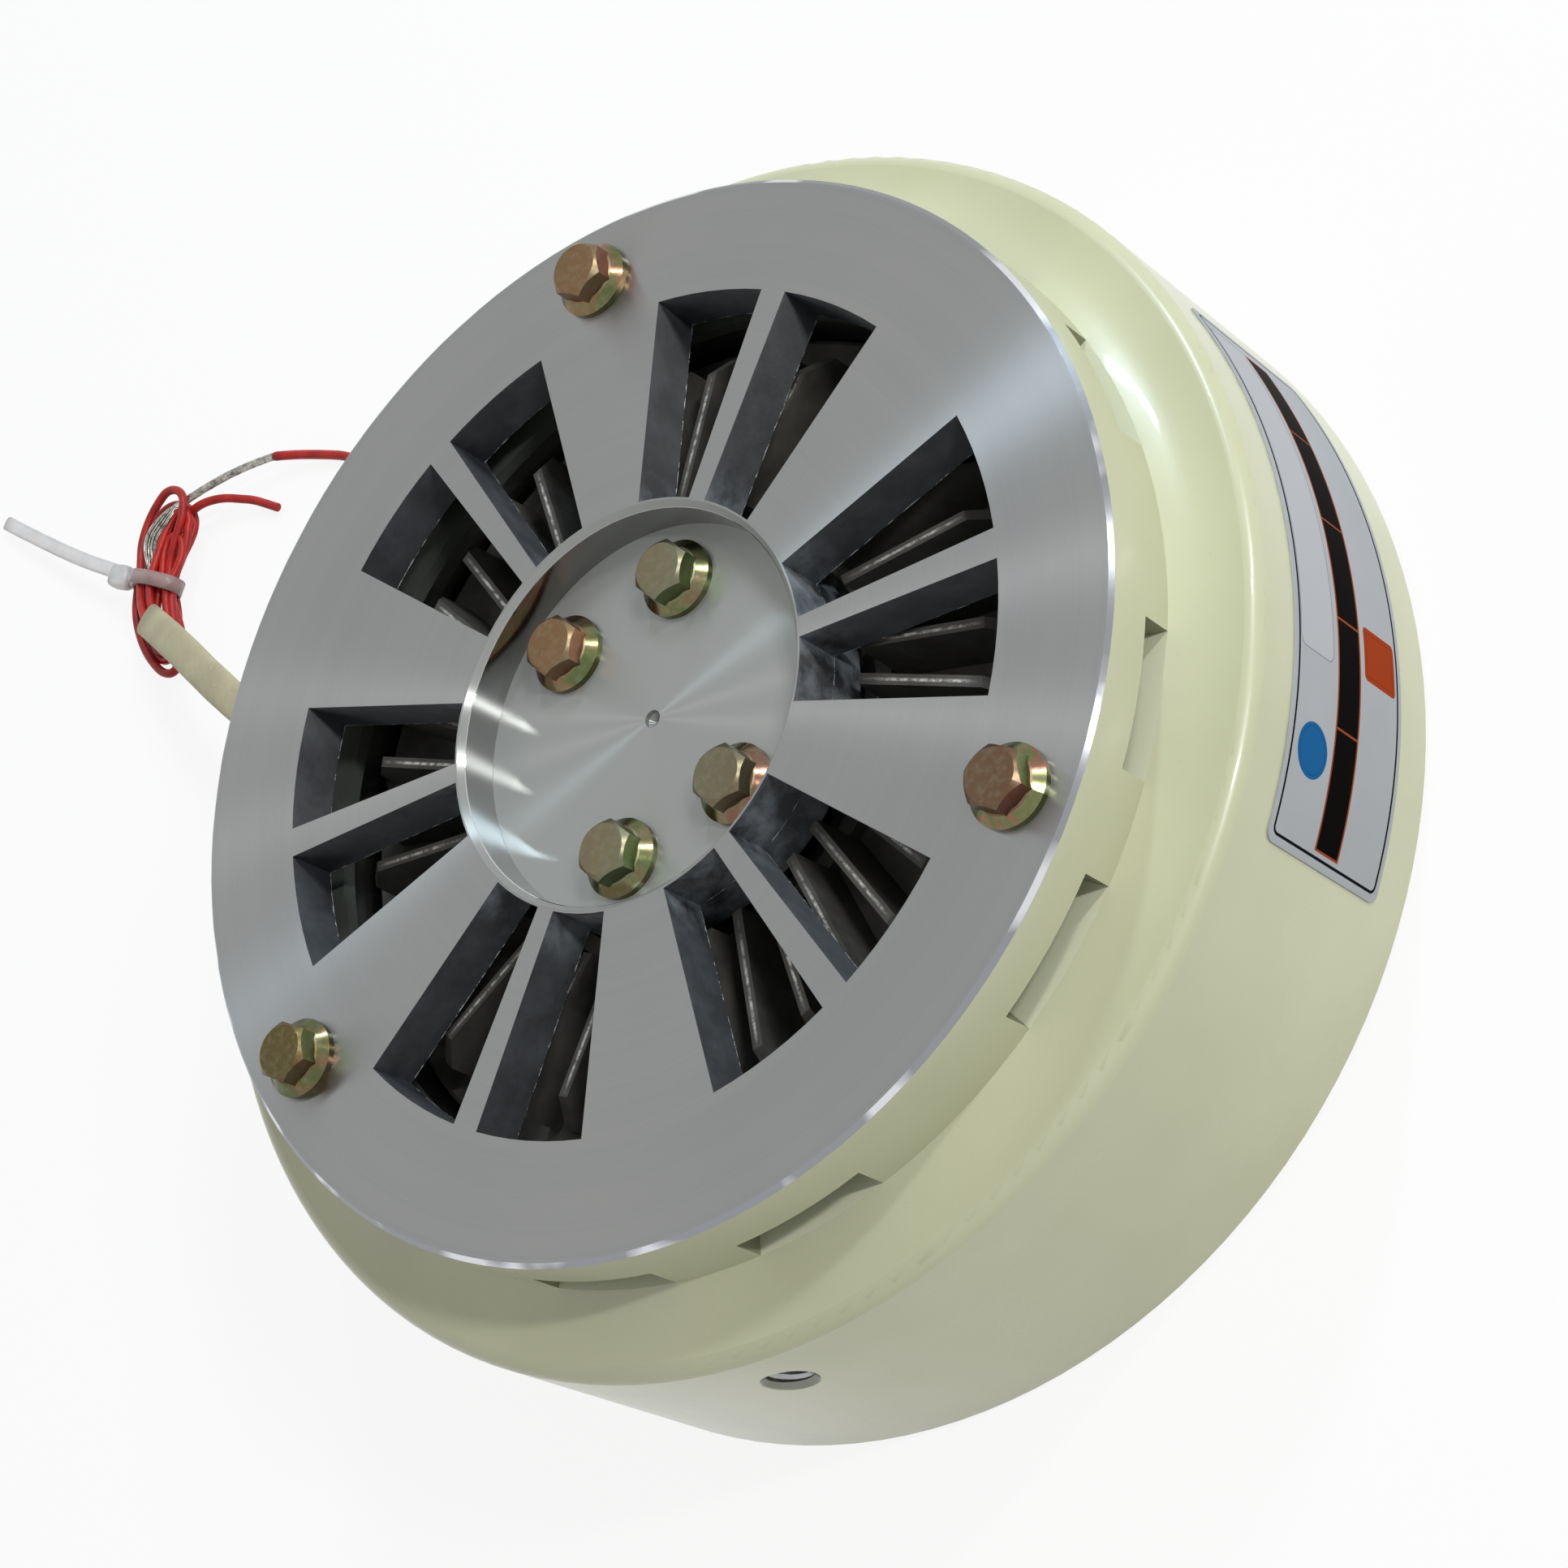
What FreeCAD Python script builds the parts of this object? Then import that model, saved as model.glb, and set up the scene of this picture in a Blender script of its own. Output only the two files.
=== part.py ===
"""Magnetic powder brake with an open, fan-cooled front bracket.

Millimetres. Z is the brake's axis, the machined front plate looks up, and the flat rear face lies on z = 0.
A coil in the steel housing magnetises powder between a turning drum and a fixed inner stator.
"""
import FreeCAD, Part
import os
from math import asin, cos, degrees, pi, radians, sin, sqrt, tan
from FreeCAD import Placement, Rotation, Vector

# Overall form
body_radius = 91.0
shoulder_step = 11.9

# Named clearances
fit_gap = 0.02
thread_gap = 0.05
running_gap = 0.30
magnet_gap = 0.50
side_gap = 0.80
stator_gap = 1.0

# Front bracket, one casting with a machined face
web_thickness = 8.0
tooth_length = 5.4
skirt_wall = 6.5
plate_edge = 0.6
boss_height = 14.0
boss_land = 0.3
recess_radius = 29.2
recess_depth = 6.85
recess_edge = 0.9
centre_drill_radius = 1.3
centre_drill_depth = 2.6
window_inset = 7.6
thin_rib_inner = 3.0
thin_rib_outer = 4.5
spoke_inner = 10.4
spoke_outer = 22.4
spoke_count = 6
first_pair_angle = 16.0
wide_tooth_span = 20.2
post_radius = 7.0

# Flange bolts that hold the bracket and the inner stator
bolt_radius = 2.5
bolt_hole_radius = 2.75
bolt_tip = 0.5
bolt_hex = 8.0
bolt_head_height = 5.2
bolt_head_bevel = 0.9
bolt_flange_radius = 5.8
bolt_flange_edge = 1.0
bolt_flange_height = 2.3
outer_bolt_inset = 9.5
outer_bolt_count = 3
first_outer_bolt = 106.0
outer_bolt_length = 22.0
inner_bolt_inset = 8.6
inner_bolt_angles = (88.0, 148.0, 268.0, 328.0)
inner_bolt_length = 16.0
thread_reserve = 2.0

# Field housing and its poles
shell_wall = 9.0
pole_wall = 3.1
front_pole_depth = 14.6
shoulder_inset = 2.1
shoulder_drop = 2.4
shoulder_round = 1.4
shoulder_hollow = 0.7
rear_edge = 0.8
rear_pole_depth = 10.0

# Coil
bobbin_wall = 1.2
bobbin_bore_gap = 0.4
winding_clearance = 2.5
wrap_thickness = 0.7
bobbin_rim = 0.5

# Tapped hole in the side of the housing
side_hole_angle = 286.0
side_hole_height = 34.3
side_hole_radius = 3.4
side_hole_mouth = 4.1
side_hole_depth = 8.0

# Rear cover
cover_lip = 4.0
lip_width = 3.0
bearing_boss_wall = 6.5
bearing_boss_height = 1.0
cover_screw_inset = 8.5
cover_screw_count = 6
first_cover_screw = 30.0
mount_hole_inset = 13.5
mount_hole_count = 4
first_mount_hole = 45.0
mount_hole_radius = 2.5
mount_hole_depth = 10.0
mount_hole_edge = 0.5

# Socket screws of the rear cover
cover_screw_radius = 2.0
cover_screw_head_radius = 3.5
cover_screw_head_height = 4.0
cover_screw_length = 16.0
cover_screw_socket = 3.0
cover_screw_edge = 0.3
cover_screw_play = 0.25
head_sink = 0.4
head_gap = 0.3

# Fixed inner stator
powder_gap = 1.0
neck_wall = 3.9
spigot_radius = 12.0
spigot_height = 2.0
pocket_ledge = 3.5
pocket_height = 3.5
stator_edge = 0.6
fan_space = 8.5

# Drum, fan and hub
drum_wall = 5.5
drum_web = 3.0
drum_height = 21.5
barrier_height = 4.0
barrier_rise = 7.5
powder_thickness = 0.6
powder_height = 14.0
fan_plate = 3.0
fan_edge = 0.8
fan_edge_gap = 0.5
fan_collar = 2.2
fan_collar_height = 2.2
blade_count = 40
blade_phase = 3.0
blade_pitch_radius = 47.5
blade_slant = -9.0
blade_root = 2.2
blade_tip = 1.6
blade_start_gap = 0.4
blade_end_gap = 4.8
blade_corner = 4.0
blade_gap = 1.1
fan_screw_radius = 1.5
fan_screw_head = 2.5
fan_screw_sink = 1.4
fan_screw_length = 8.0
fan_screw_count = 6
hub_end_gap = 0.5
input_bore = 10.0
bore_edge = 0.6
keyway_width = 6.0
keyway_depth = 2.8
hub_shoulder = 3.0
hub_spigot = 2.5
hub_flange = 3.2
hub_flange_rim = 4.2
hub_screw_step = 3.8
hub_screw_count = 6
hub_screw_radius = 2.0
hub_screw_head = 3.5
hub_screw_sink = 2.0
hub_screw_length = 6.0
hub_front_end = 2.5

# Bearings, with the hub's wall under each and the depth of each one's section
rear_hub_wall = 7.5
rear_bearing_section = 10.0
rear_bearing_width = 10.0
rear_ball_radius = 2.8
rear_ball_count = 14
front_hub_wall = 5.0
front_bearing_section = 8.5
front_bearing_width = 9.0
front_ball_radius = 2.4
front_ball_count = 13
ball_gap = 0.03
race_edge = 0.4
circlip_thickness = 1.5
circlip_height = 3.0
circlip_groove = 0.8
circlip_mouth = 40.0

# Seals
front_seal_section = 3.44
front_seal_height = 4.6
front_seal_throat = 1.4
rear_seal_height = 2.6

# Label on the housing
label_angle = 15.75
label_span = 52.5
label_bottom = 8.4
label_height = 28.7
label_thickness = 0.25
label_corner = 3.0

# Lead: grommet, flat sleeve, two wires, hank, tie and the wire ends
lead_angle = 172.0
lead_height = 26.0
grommet_flange = 6.5
grommet_lip = 1.6
grommet_neck = 4.5
sleeve_width = 6.4
sleeve_thickness = 2.4
sleeve_gap = 0.1
wire_radius = 0.75
wire_spread = 1.1
hank_bottom = 1.3
hank_thickness = 6.0
hank_waist_thickness = 4.4
hank_waist_width = 10.0
hank_waist_length = 12.0
hank_waist_place = (-169.5, 57.2, 78.0)
hank_lobes = [(-169.8, 67.2, 91.0, 9.2, 7.4), (-165.6, 48.2, 118.0, 12.0, 7.2)]
tie_width = 2.8
tie_thickness = 1.1
tie_gap = 0.1
tie_head = (5.4, 3.6, 3.6)

# Routes of the lead's parts: the sleeve, one wire of the short pair, and the two loose ends
sleeve_route = [(-81.2, 11.4, 26.0), (-98.0, 13.8, 26.0), (-116.0, 20.0, 24.4), (-133.0, 29.7, 20.6),
                (-149.6, 39.4, 15.2), (-166.3, 48.2, 9.2)]
wire_route = [(-166.3, 48.2, 9.2), (-168.4, 49.6, 8.8), (-169.9, 51.4, 7.8), (-170.4, 53.2, 6.2)]
tinned_route = [(-168.3, 72.6, 4.6), (-159.6, 77.8, 3.9), (-149.6, 80.6, 2.8), (-139.8, 81.2, 1.8),
                (-131.0, 79.6, 1.2), (-123.5, 76.6, 1.0)]
red_route = [(-166.3, 70.6, 4.6), (-159.2, 73.4, 3.4), (-152.4, 73.4, 2.0), (-146.8, 70.8, 1.1)]
tie_tail_route = [(-180.0, 59.4, 5.1), (-194.6, 64.8, 4.6), (-209.0, 70.6, 3.2), (-223.0, 76.6, 1.4)]

# Levels along the axis, from the rear face up
hub_seat = cover_lip + rear_bearing_width
cover_depth = hub_seat - bearing_boss_height
rear_pole_top = cover_depth + rear_pole_depth
flange_bottom = hub_seat + side_gap
drum_bottom = flange_bottom + hub_flange
drum_web_top = drum_bottom + drum_web
drum_top = drum_bottom + drum_height
fan_plate_top = drum_top + fan_plate
stator_bottom = drum_web_top + side_gap
stator_top = drum_top - stator_gap
front_bearing_bottom = stator_bottom + rear_seal_height + side_gap
front_bearing_top = front_bearing_bottom + front_bearing_width
pocket_top = front_bearing_top + pocket_height
hub_top = front_bearing_top + hub_front_end
boss_bottom = drum_top + fan_space
top = boss_bottom + boss_height
recess_floor = top - recess_depth
web_bottom = top - web_thickness
fan_top = web_bottom - blade_gap
tooth_end = web_bottom - tooth_length
front_pole_bottom = tooth_end - front_pole_depth

# Radii of the outer pieces, from the housing inwards
plate_radius = body_radius - shoulder_step
bore_radius = body_radius - shell_wall
skirt_inner = plate_radius - skirt_wall
outer_bolt_circle = plate_radius - outer_bolt_inset
window_radius = outer_bolt_circle - window_inset
pole_bore = outer_bolt_circle - bolt_radius - pole_wall
winding_inner = pole_bore + bobbin_bore_gap + bobbin_wall
winding_outer = bore_radius - winding_clearance
cover_screw_circle = bore_radius - cover_screw_inset
mount_hole_circle = cover_screw_circle - mount_hole_inset
drum_radius = pole_bore - magnet_gap
drum_inner = drum_radius - drum_wall
stator_radius = drum_inner - powder_gap
fan_screw_circle = drum_radius - drum_wall / 2

# Radii of the inner pieces, from the input bore outwards
rear_bearing_bore = input_bore + rear_hub_wall
rear_bearing_outer = rear_bearing_bore + rear_bearing_section
lip_radius = rear_bearing_outer - lip_width
front_bearing_bore = input_bore + front_hub_wall
front_bearing_outer = front_bearing_bore + front_bearing_section
pocket_radius = front_bearing_outer - pocket_ledge
hub_shoulder_radius = rear_bearing_bore + hub_shoulder
hub_spigot_radius = rear_bearing_bore + hub_spigot
hub_screw_circle = hub_spigot_radius + hub_screw_step
hub_flange_radius = hub_screw_circle + hub_flange_rim
boss_radius = recess_radius + recess_edge + boss_land
inner_bolt_circle = recess_radius - inner_bolt_inset
neck_radius = inner_bolt_circle + bolt_radius + neck_wall
seal_inner = neck_radius + running_gap
seal_outer = seal_inner + front_seal_section
collar_inner = seal_outer + running_gap
collar_outer = collar_inner + fan_collar
blade_inner = collar_outer + blade_start_gap
blade_outer = outer_bolt_circle - post_radius - blade_end_gap


def cylinder(radius, bottom, height_end, x=0.0, y=0.0):
    return Part.makeCylinder(radius, height_end - bottom, Vector(x, y, bottom))


def ring(inner, outer, bottom, height_end):
    return cylinder(outer, bottom, height_end).cut(cylinder(inner, bottom - 1, height_end + 1))


def turned(points, sweep=360.0):
    """A solid of revolution about the axis from (radius, height) points in order."""
    corners = [Vector(r, 0, h) for r, h in points]
    outline = Part.makePolygon(corners + corners[:1])
    return Part.Face(outline).revolve(Vector(0, 0, 0), Vector(0, 0, 1), sweep)


def sector(inner, outer, bottom, height_end, middle, span):
    """Part of a ring, span degrees wide about the middle angle."""
    piece = turned([(inner, bottom), (outer, bottom), (outer, height_end), (inner, height_end)], span)
    return turn(piece, middle - span / 2)


def turn(shape, angle):
    turned_copy = shape.copy()
    turned_copy.rotate(Vector(0, 0, 0), Vector(0, 0, 1), angle)
    return turned_copy


def even_angles(count, first=0.0):
    return [first + 360.0 * step / count for step in range(count)]


def on_circle(shape, radius, angles):
    """Copies of a shape built on the axis, moved out to a circle and turned to each angle."""
    moved = shape.copy()
    moved.translate(Vector(radius, 0, 0))
    return [turn(moved, angle) for angle in angles]


def group(shapes):
    return Part.makeCompound(shapes)


def outward(shape, angle, height):
    """Lays a shape built along Z so that its Z axis points outward at an angle and a height."""
    laid = shape.copy()
    laid.Placement = Placement(Vector(0, 0, height), Rotation(Vector(0, 1, 0), 90)).multiply(laid.Placement)
    return turn(laid, angle)


# Fasteners

def hexagon(across_flats, bottom, height_end):
    corner = across_flats / sqrt(3)
    points = [Vector(corner * cos(radians(a)), corner * sin(radians(a)), bottom) for a in range(0, 360, 60)]
    face = Part.Face(Part.makePolygon(points + points[:1]))
    return face.extrude(Vector(0, 0, height_end - bottom))


def flange_bolt(seat, length):
    """A hexagon flange bolt, its flange on the seat height and its shank pointing down."""
    corner = bolt_hex / sqrt(3)
    flat = bolt_hex / 2
    head_end = seat + bolt_head_height
    cap = turned([(0, seat), (corner + 0.1, seat), (corner + 0.1, head_end - bolt_head_bevel),
                  (flat - bolt_head_bevel / 3, head_end), (0, head_end)])
    head = hexagon(bolt_hex, seat, head_end).common(cap)
    flange = turned([(0, seat), (bolt_flange_radius, seat), (bolt_flange_radius, seat + bolt_flange_edge),
                     (flat + 0.2, seat + bolt_flange_height), (0, seat + bolt_flange_height)])
    shank = turned([(0, seat - length), (bolt_radius - bolt_tip, seat - length), (bolt_radius, seat - length + bolt_tip),
                    (bolt_radius, seat), (0, seat)])
    return head.fuse([flange, shank]).removeSplitter()


def socket_screw(seat, radius, head_radius, head_height, length):
    """A socket head screw that points up: its head lies below the seat height."""
    edge = cover_screw_edge
    head = turned([(0, seat - head_height), (head_radius - edge, seat - head_height),
                   (head_radius, seat - head_height + edge), (head_radius, seat), (0, seat)])
    shank = cylinder(radius, seat, seat + length)
    socket = hexagon(cover_screw_socket, seat - head_height - 1, seat - head_height / 2)
    return head.fuse(shank).cut(socket)


def sunk_screw(seat, radius, head_radius, sink, length, direction):
    """A countersunk screw with its flat head in the seat plane, pointing in the given Z direction."""
    outline = [(0, 0), (head_radius, 0), (radius, sink), (radius, length), (0, length)]
    screw = turned([(r, seat + direction * h) for r, h in outline])
    slot = Part.makeBox(2 * head_radius + 1, 0.6, 0.8, Vector(-head_radius - 0.5, -0.3, seat - 0.4))
    return screw.cut(slot)


def sunk_hole(seat, radius, head_radius, sink, depth, direction):
    """The hole for a countersunk screw, larger than the screw by the fit gap."""
    gap = thread_gap
    outline = [(0, -1), (head_radius + gap, -1), (head_radius + gap, 0), (radius + gap, sink),
               (radius + gap, depth), (0, depth)]
    return turned([(r, seat + direction * h) for r, h in outline])


# Front bracket

def pair_angles():
    return even_angles(spoke_count, first_pair_angle)


def spoke_angles():
    return even_angles(spoke_count, first_pair_angle + 180.0 / spoke_count)


def window():
    """One window beside the thin rib that lies on the X axis."""
    thin_rate = (thin_rib_outer - thin_rib_inner) / 2 / (window_radius - boss_radius)
    spoke_rate = (spoke_outer - spoke_inner) / 2 / (window_radius - boss_radius)
    near, far = 0.8 * boss_radius, 1.15 * window_radius
    lean = radians(180.0 / spoke_count)

    def rib_side(x):
        return Vector(x, thin_rib_inner / 2 + thin_rate * (x - boss_radius), web_bottom - 1)

    def spoke_side(x):
        half = spoke_inner / 2 + spoke_rate * (x - boss_radius)
        return Vector(x * cos(lean) + half * sin(lean), x * sin(lean) - half * cos(lean), web_bottom - 1)

    corners = [rib_side(near), rib_side(far), spoke_side(far), spoke_side(near)]
    wedge = Part.Face(Part.makePolygon(corners + corners[:1])).extrude(Vector(0, 0, web_thickness + 2))
    return wedge.common(ring(boss_radius, window_radius, web_bottom - 1, top + 1))


def front_bracket():
    plate = turned([(0, web_bottom), (plate_radius, web_bottom), (plate_radius, top - plate_edge),
                    (plate_radius - plate_edge, top), (0, top)])
    boss = cylinder(boss_radius, boss_bottom, top)
    teeth = [sector(skirt_inner, plate_radius, tooth_end, web_bottom, a, wide_tooth_span) for a in pair_angles()]
    skirt = ring(skirt_inner, plate_radius, tooth_end, web_bottom)
    post_block = Part.makeBox(plate_radius, 2 * post_radius, tooth_length,
                              Vector(outer_bolt_circle, -post_radius, tooth_end))
    post_blocks = [turn(post_block, a).common(cylinder(plate_radius, tooth_end, web_bottom)) for a in spoke_angles()]
    posts = on_circle(cylinder(post_radius, tooth_end, web_bottom), outer_bolt_circle, spoke_angles())
    casting = plate.fuse([boss] + teeth + post_blocks + posts)
    recess = turned([(0, recess_floor), (recess_radius, recess_floor), (recess_radius, top - recess_edge),
                     (recess_radius + recess_edge, top), (recess_radius + recess_edge, top + 1), (0, top + 1)])
    drill = turned([(0, recess_floor - centre_drill_depth), (centre_drill_radius, recess_floor - 0.8),
                    (centre_drill_radius, recess_floor + 1), (0, recess_floor + 1)])
    seat = cylinder(spigot_radius + thread_gap, boss_bottom - 1, boss_bottom + spigot_height + fit_gap)
    mirrored = window().mirror(Vector(0, 0, 0), Vector(0, 1, 0))
    windows = [turn(side, a) for a in pair_angles() for side in (window(), mirrored)]
    bolt_hole = cylinder(bolt_hole_radius, boss_bottom - 1, top + 1)
    outer_holes = on_circle(bolt_hole, outer_bolt_circle, even_angles(outer_bolt_count, first_outer_bolt))
    inner_holes = on_circle(bolt_hole, inner_bolt_circle, inner_bolt_angles)
    return casting.cut([recess, drill, seat] + windows + outer_holes + inner_holes).removeSplitter()


def bracket_bolts():
    return group(on_circle(flange_bolt(top, outer_bolt_length), outer_bolt_circle,
                           even_angles(outer_bolt_count, first_outer_bolt)))


def stator_bolts():
    return group(on_circle(flange_bolt(recess_floor, inner_bolt_length), inner_bolt_circle, inner_bolt_angles))


# Housing, poles and coil

def housing_outline():
    """Half section of the housing, with its hollow front shoulder and rounded outer corner."""
    edge_height = tooth_end - shoulder_drop
    brow = body_radius - shoulder_inset

    def point(r, h):
        return Vector(r, 0, h)

    hollow = point((plate_radius + brow) / 2, tooth_end - shoulder_drop / 2 - shoulder_hollow)
    shoulder = Part.Arc(point(plate_radius, tooth_end), hollow, point(brow, edge_height)).toShape()
    corner = Part.Arc(point(brow, edge_height),
                      point(body_radius - 0.4 * shoulder_inset, edge_height - 0.4 * shoulder_round),
                      point(body_radius, edge_height - 1.4 * shoulder_round)).toShape()
    straight = [(body_radius, edge_height - 1.4 * shoulder_round), (body_radius, rear_edge),
                (body_radius - rear_edge, 0), (bore_radius, 0), (bore_radius, front_pole_bottom),
                (pole_bore, front_pole_bottom), (pole_bore, tooth_end), (plate_radius, tooth_end)]
    lines = [Part.makeLine(point(*a), point(*b)) for a, b in zip(straight, straight[1:])]
    return Part.Face(Part.Wire([shoulder, corner] + lines))


def field_housing():
    body = housing_outline().revolve(Vector(0, 0, 0), Vector(0, 0, 1), 360)
    depth = tooth_end - (top - outer_bolt_length) + thread_reserve
    tapped = on_circle(cylinder(bolt_radius + thread_gap, tooth_end - depth, tooth_end + 1), outer_bolt_circle,
                       even_angles(outer_bolt_count, first_outer_bolt))
    side = turned([(0, body_radius - side_hole_depth - 1.6), (side_hole_radius, body_radius - side_hole_depth),
                   (side_hole_radius, body_radius - 0.9), (side_hole_mouth, body_radius - 0.1),
                   (side_hole_mouth, body_radius + 1), (0, body_radius + 1)])
    exit_hole = cylinder(grommet_neck, bore_radius - 2, body_radius + 2)
    return body.cut(tapped + [outward(side, side_hole_angle, side_hole_height),
                              outward(exit_hole, lead_angle, lead_height)])


def rear_pole_ring():
    pole = ring(pole_bore, bore_radius - fit_gap, cover_depth, rear_pole_top)
    reach = cover_screw_length - (cover_depth - head_sink - cover_screw_head_height) + 1
    tapped = on_circle(cylinder(cover_screw_radius + thread_gap, cover_depth - 1, cover_depth + reach),
                       cover_screw_circle, even_angles(cover_screw_count, first_cover_screw))
    return pole.cut(tapped)


def coil_bobbin():
    inner = pole_bore + bobbin_bore_gap
    outer = winding_outer + wrap_thickness + bobbin_rim
    low, high = rear_pole_top, front_pole_bottom
    return turned([(inner, low), (outer, low), (outer, low + bobbin_wall), (winding_inner, low + bobbin_wall),
                   (winding_inner, high - bobbin_wall), (outer, high - bobbin_wall), (outer, high), (inner, high)])


def coil_winding():
    return ring(winding_inner, winding_outer, rear_pole_top + bobbin_wall, front_pole_bottom - bobbin_wall)


def coil_wrap():
    return ring(winding_outer, winding_outer + wrap_thickness,
                rear_pole_top + bobbin_wall, front_pole_bottom - bobbin_wall)


def rear_cover():
    boss_outer = rear_bearing_outer + bearing_boss_wall
    front_face = hub_seat
    body = turned([(lip_radius, 0), (bore_radius - fit_gap - rear_edge, 0), (bore_radius - fit_gap, rear_edge),
                   (bore_radius - fit_gap, cover_depth), (boss_outer, cover_depth), (boss_outer, front_face),
                   (rear_bearing_outer + fit_gap, front_face), (rear_bearing_outer + fit_gap, cover_lip),
                   (lip_radius, cover_lip)])
    head_room = cylinder(cover_screw_head_radius + head_gap, -1, head_sink + cover_screw_head_height)
    shank_room = cylinder(cover_screw_radius + cover_screw_play, -1, cover_depth + 1)
    screws = on_circle(head_room.fuse(shank_room), cover_screw_circle, even_angles(cover_screw_count, first_cover_screw))
    tapped = turned([(0, -1), (mount_hole_radius + mount_hole_edge, -1), (mount_hole_radius + mount_hole_edge, 0),
                     (mount_hole_radius, mount_hole_edge), (mount_hole_radius, mount_hole_depth),
                     (0, mount_hole_depth)])
    mounts = on_circle(tapped, mount_hole_circle, even_angles(mount_hole_count, first_mount_hole))
    return body.cut(screws + mounts)


def cover_screws():
    screw = socket_screw(head_sink + cover_screw_head_height, cover_screw_radius, cover_screw_head_radius,
                         cover_screw_head_height, cover_screw_length)
    return group(on_circle(screw, cover_screw_circle, even_angles(cover_screw_count, first_cover_screw)))


# Inner stator and powder

def inner_stator():
    seal_seat = front_bearing_outer + fit_gap
    body = turned([(seal_seat, stator_bottom), (stator_radius - stator_edge, stator_bottom),
                   (stator_radius, stator_bottom + stator_edge), (stator_radius, stator_top - stator_edge),
                   (stator_radius - stator_edge, stator_top), (neck_radius, stator_top),
                   (neck_radius, boss_bottom), (spigot_radius, boss_bottom),
                   (spigot_radius, boss_bottom + spigot_height), (0, boss_bottom + spigot_height),
                   (0, pocket_top), (pocket_radius, pocket_top), (pocket_radius, front_bearing_top),
                   (seal_seat, front_bearing_top)])
    end = recess_floor - inner_bolt_length - 0.6
    tapped = on_circle(cylinder(bolt_radius + thread_gap, end, boss_bottom + 1), inner_bolt_circle, inner_bolt_angles)
    return body.cut(tapped)


def powder_charge():
    middle = (stator_bottom + stator_top) / 2
    return ring(drum_inner - powder_thickness, drum_inner, middle - powder_height / 2, middle + powder_height / 2)


# Drum, fan and hub

def drum_rear_cup():
    high = drum_bottom + barrier_rise
    cup = turned([(hub_spigot_radius + fit_gap, drum_bottom), (drum_radius, drum_bottom), (drum_radius, high),
                  (drum_inner, high), (drum_inner, drum_web_top), (hub_spigot_radius + fit_gap, drum_web_top)])
    tapped = on_circle(cylinder(hub_screw_radius + thread_gap, drum_bottom - 1, drum_web_top + 1),
                       hub_screw_circle, even_angles(hub_screw_count))
    return cup.cut(tapped)


def drum_barrier_ring():
    low = drum_bottom + barrier_rise
    return ring(drum_inner, drum_radius, low, low + barrier_height)


def drum_front_ring():
    low = drum_bottom + barrier_rise + barrier_height
    hole = cylinder(fan_screw_radius + thread_gap, fan_plate_top - fan_screw_length - 1, drum_top + 1)
    return ring(drum_inner, drum_radius, low, drum_top).cut(
        on_circle(hole, fan_screw_circle, even_angles(fan_screw_count)))


def fan_blade():
    """One cast blade: a tapered rib that leans off the radius, with a rounded outer corner."""
    low, high = fan_plate_top - 0.5, fan_top
    half_root, half_tip = blade_root / 2, blade_tip / 2
    back = -blade_outer
    section = [Vector(back, -half_root, low), Vector(back, half_root, low),
               Vector(back, half_tip, high), Vector(back, -half_tip, high)]
    bar = Part.Face(Part.makePolygon(section + section[:1])).extrude(Vector(2 * blade_outer, 0, 0))
    bar.rotate(Vector(0, 0, 0), Vector(0, 0, 1), blade_slant)
    bar.translate(Vector(blade_pitch_radius, 0, 0))
    outline = [(blade_inner, low), (blade_outer, low), (blade_outer, high - blade_corner),
               (blade_outer - blade_corner, high), (blade_inner, high)]
    envelope = turned(outline, 90)
    return bar.common(turn(envelope, -45))


def front_fan():
    rim = drum_radius - fan_edge_gap
    collar_top = fan_plate_top + fan_collar_height
    plate = turned([(seal_outer, drum_top), (rim, drum_top), (rim, fan_plate_top - fan_edge),
                    (rim - fan_edge, fan_plate_top), (collar_outer, fan_plate_top),
                    (collar_outer, collar_top), (seal_outer, collar_top)])
    blades = [turn(fan_blade(), a) for a in even_angles(blade_count, blade_phase)]
    holes = on_circle(sunk_hole(fan_plate_top, fan_screw_radius, fan_screw_head, fan_screw_sink,
                                fan_plate + 1, -1), fan_screw_circle, even_angles(fan_screw_count))
    return plate.cut(holes).fuse(blades)


def fan_screws():
    screw = sunk_screw(fan_plate_top, fan_screw_radius, fan_screw_head, fan_screw_sink, fan_screw_length, -1)
    return group(on_circle(screw, fan_screw_circle, even_angles(fan_screw_count)))


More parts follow.
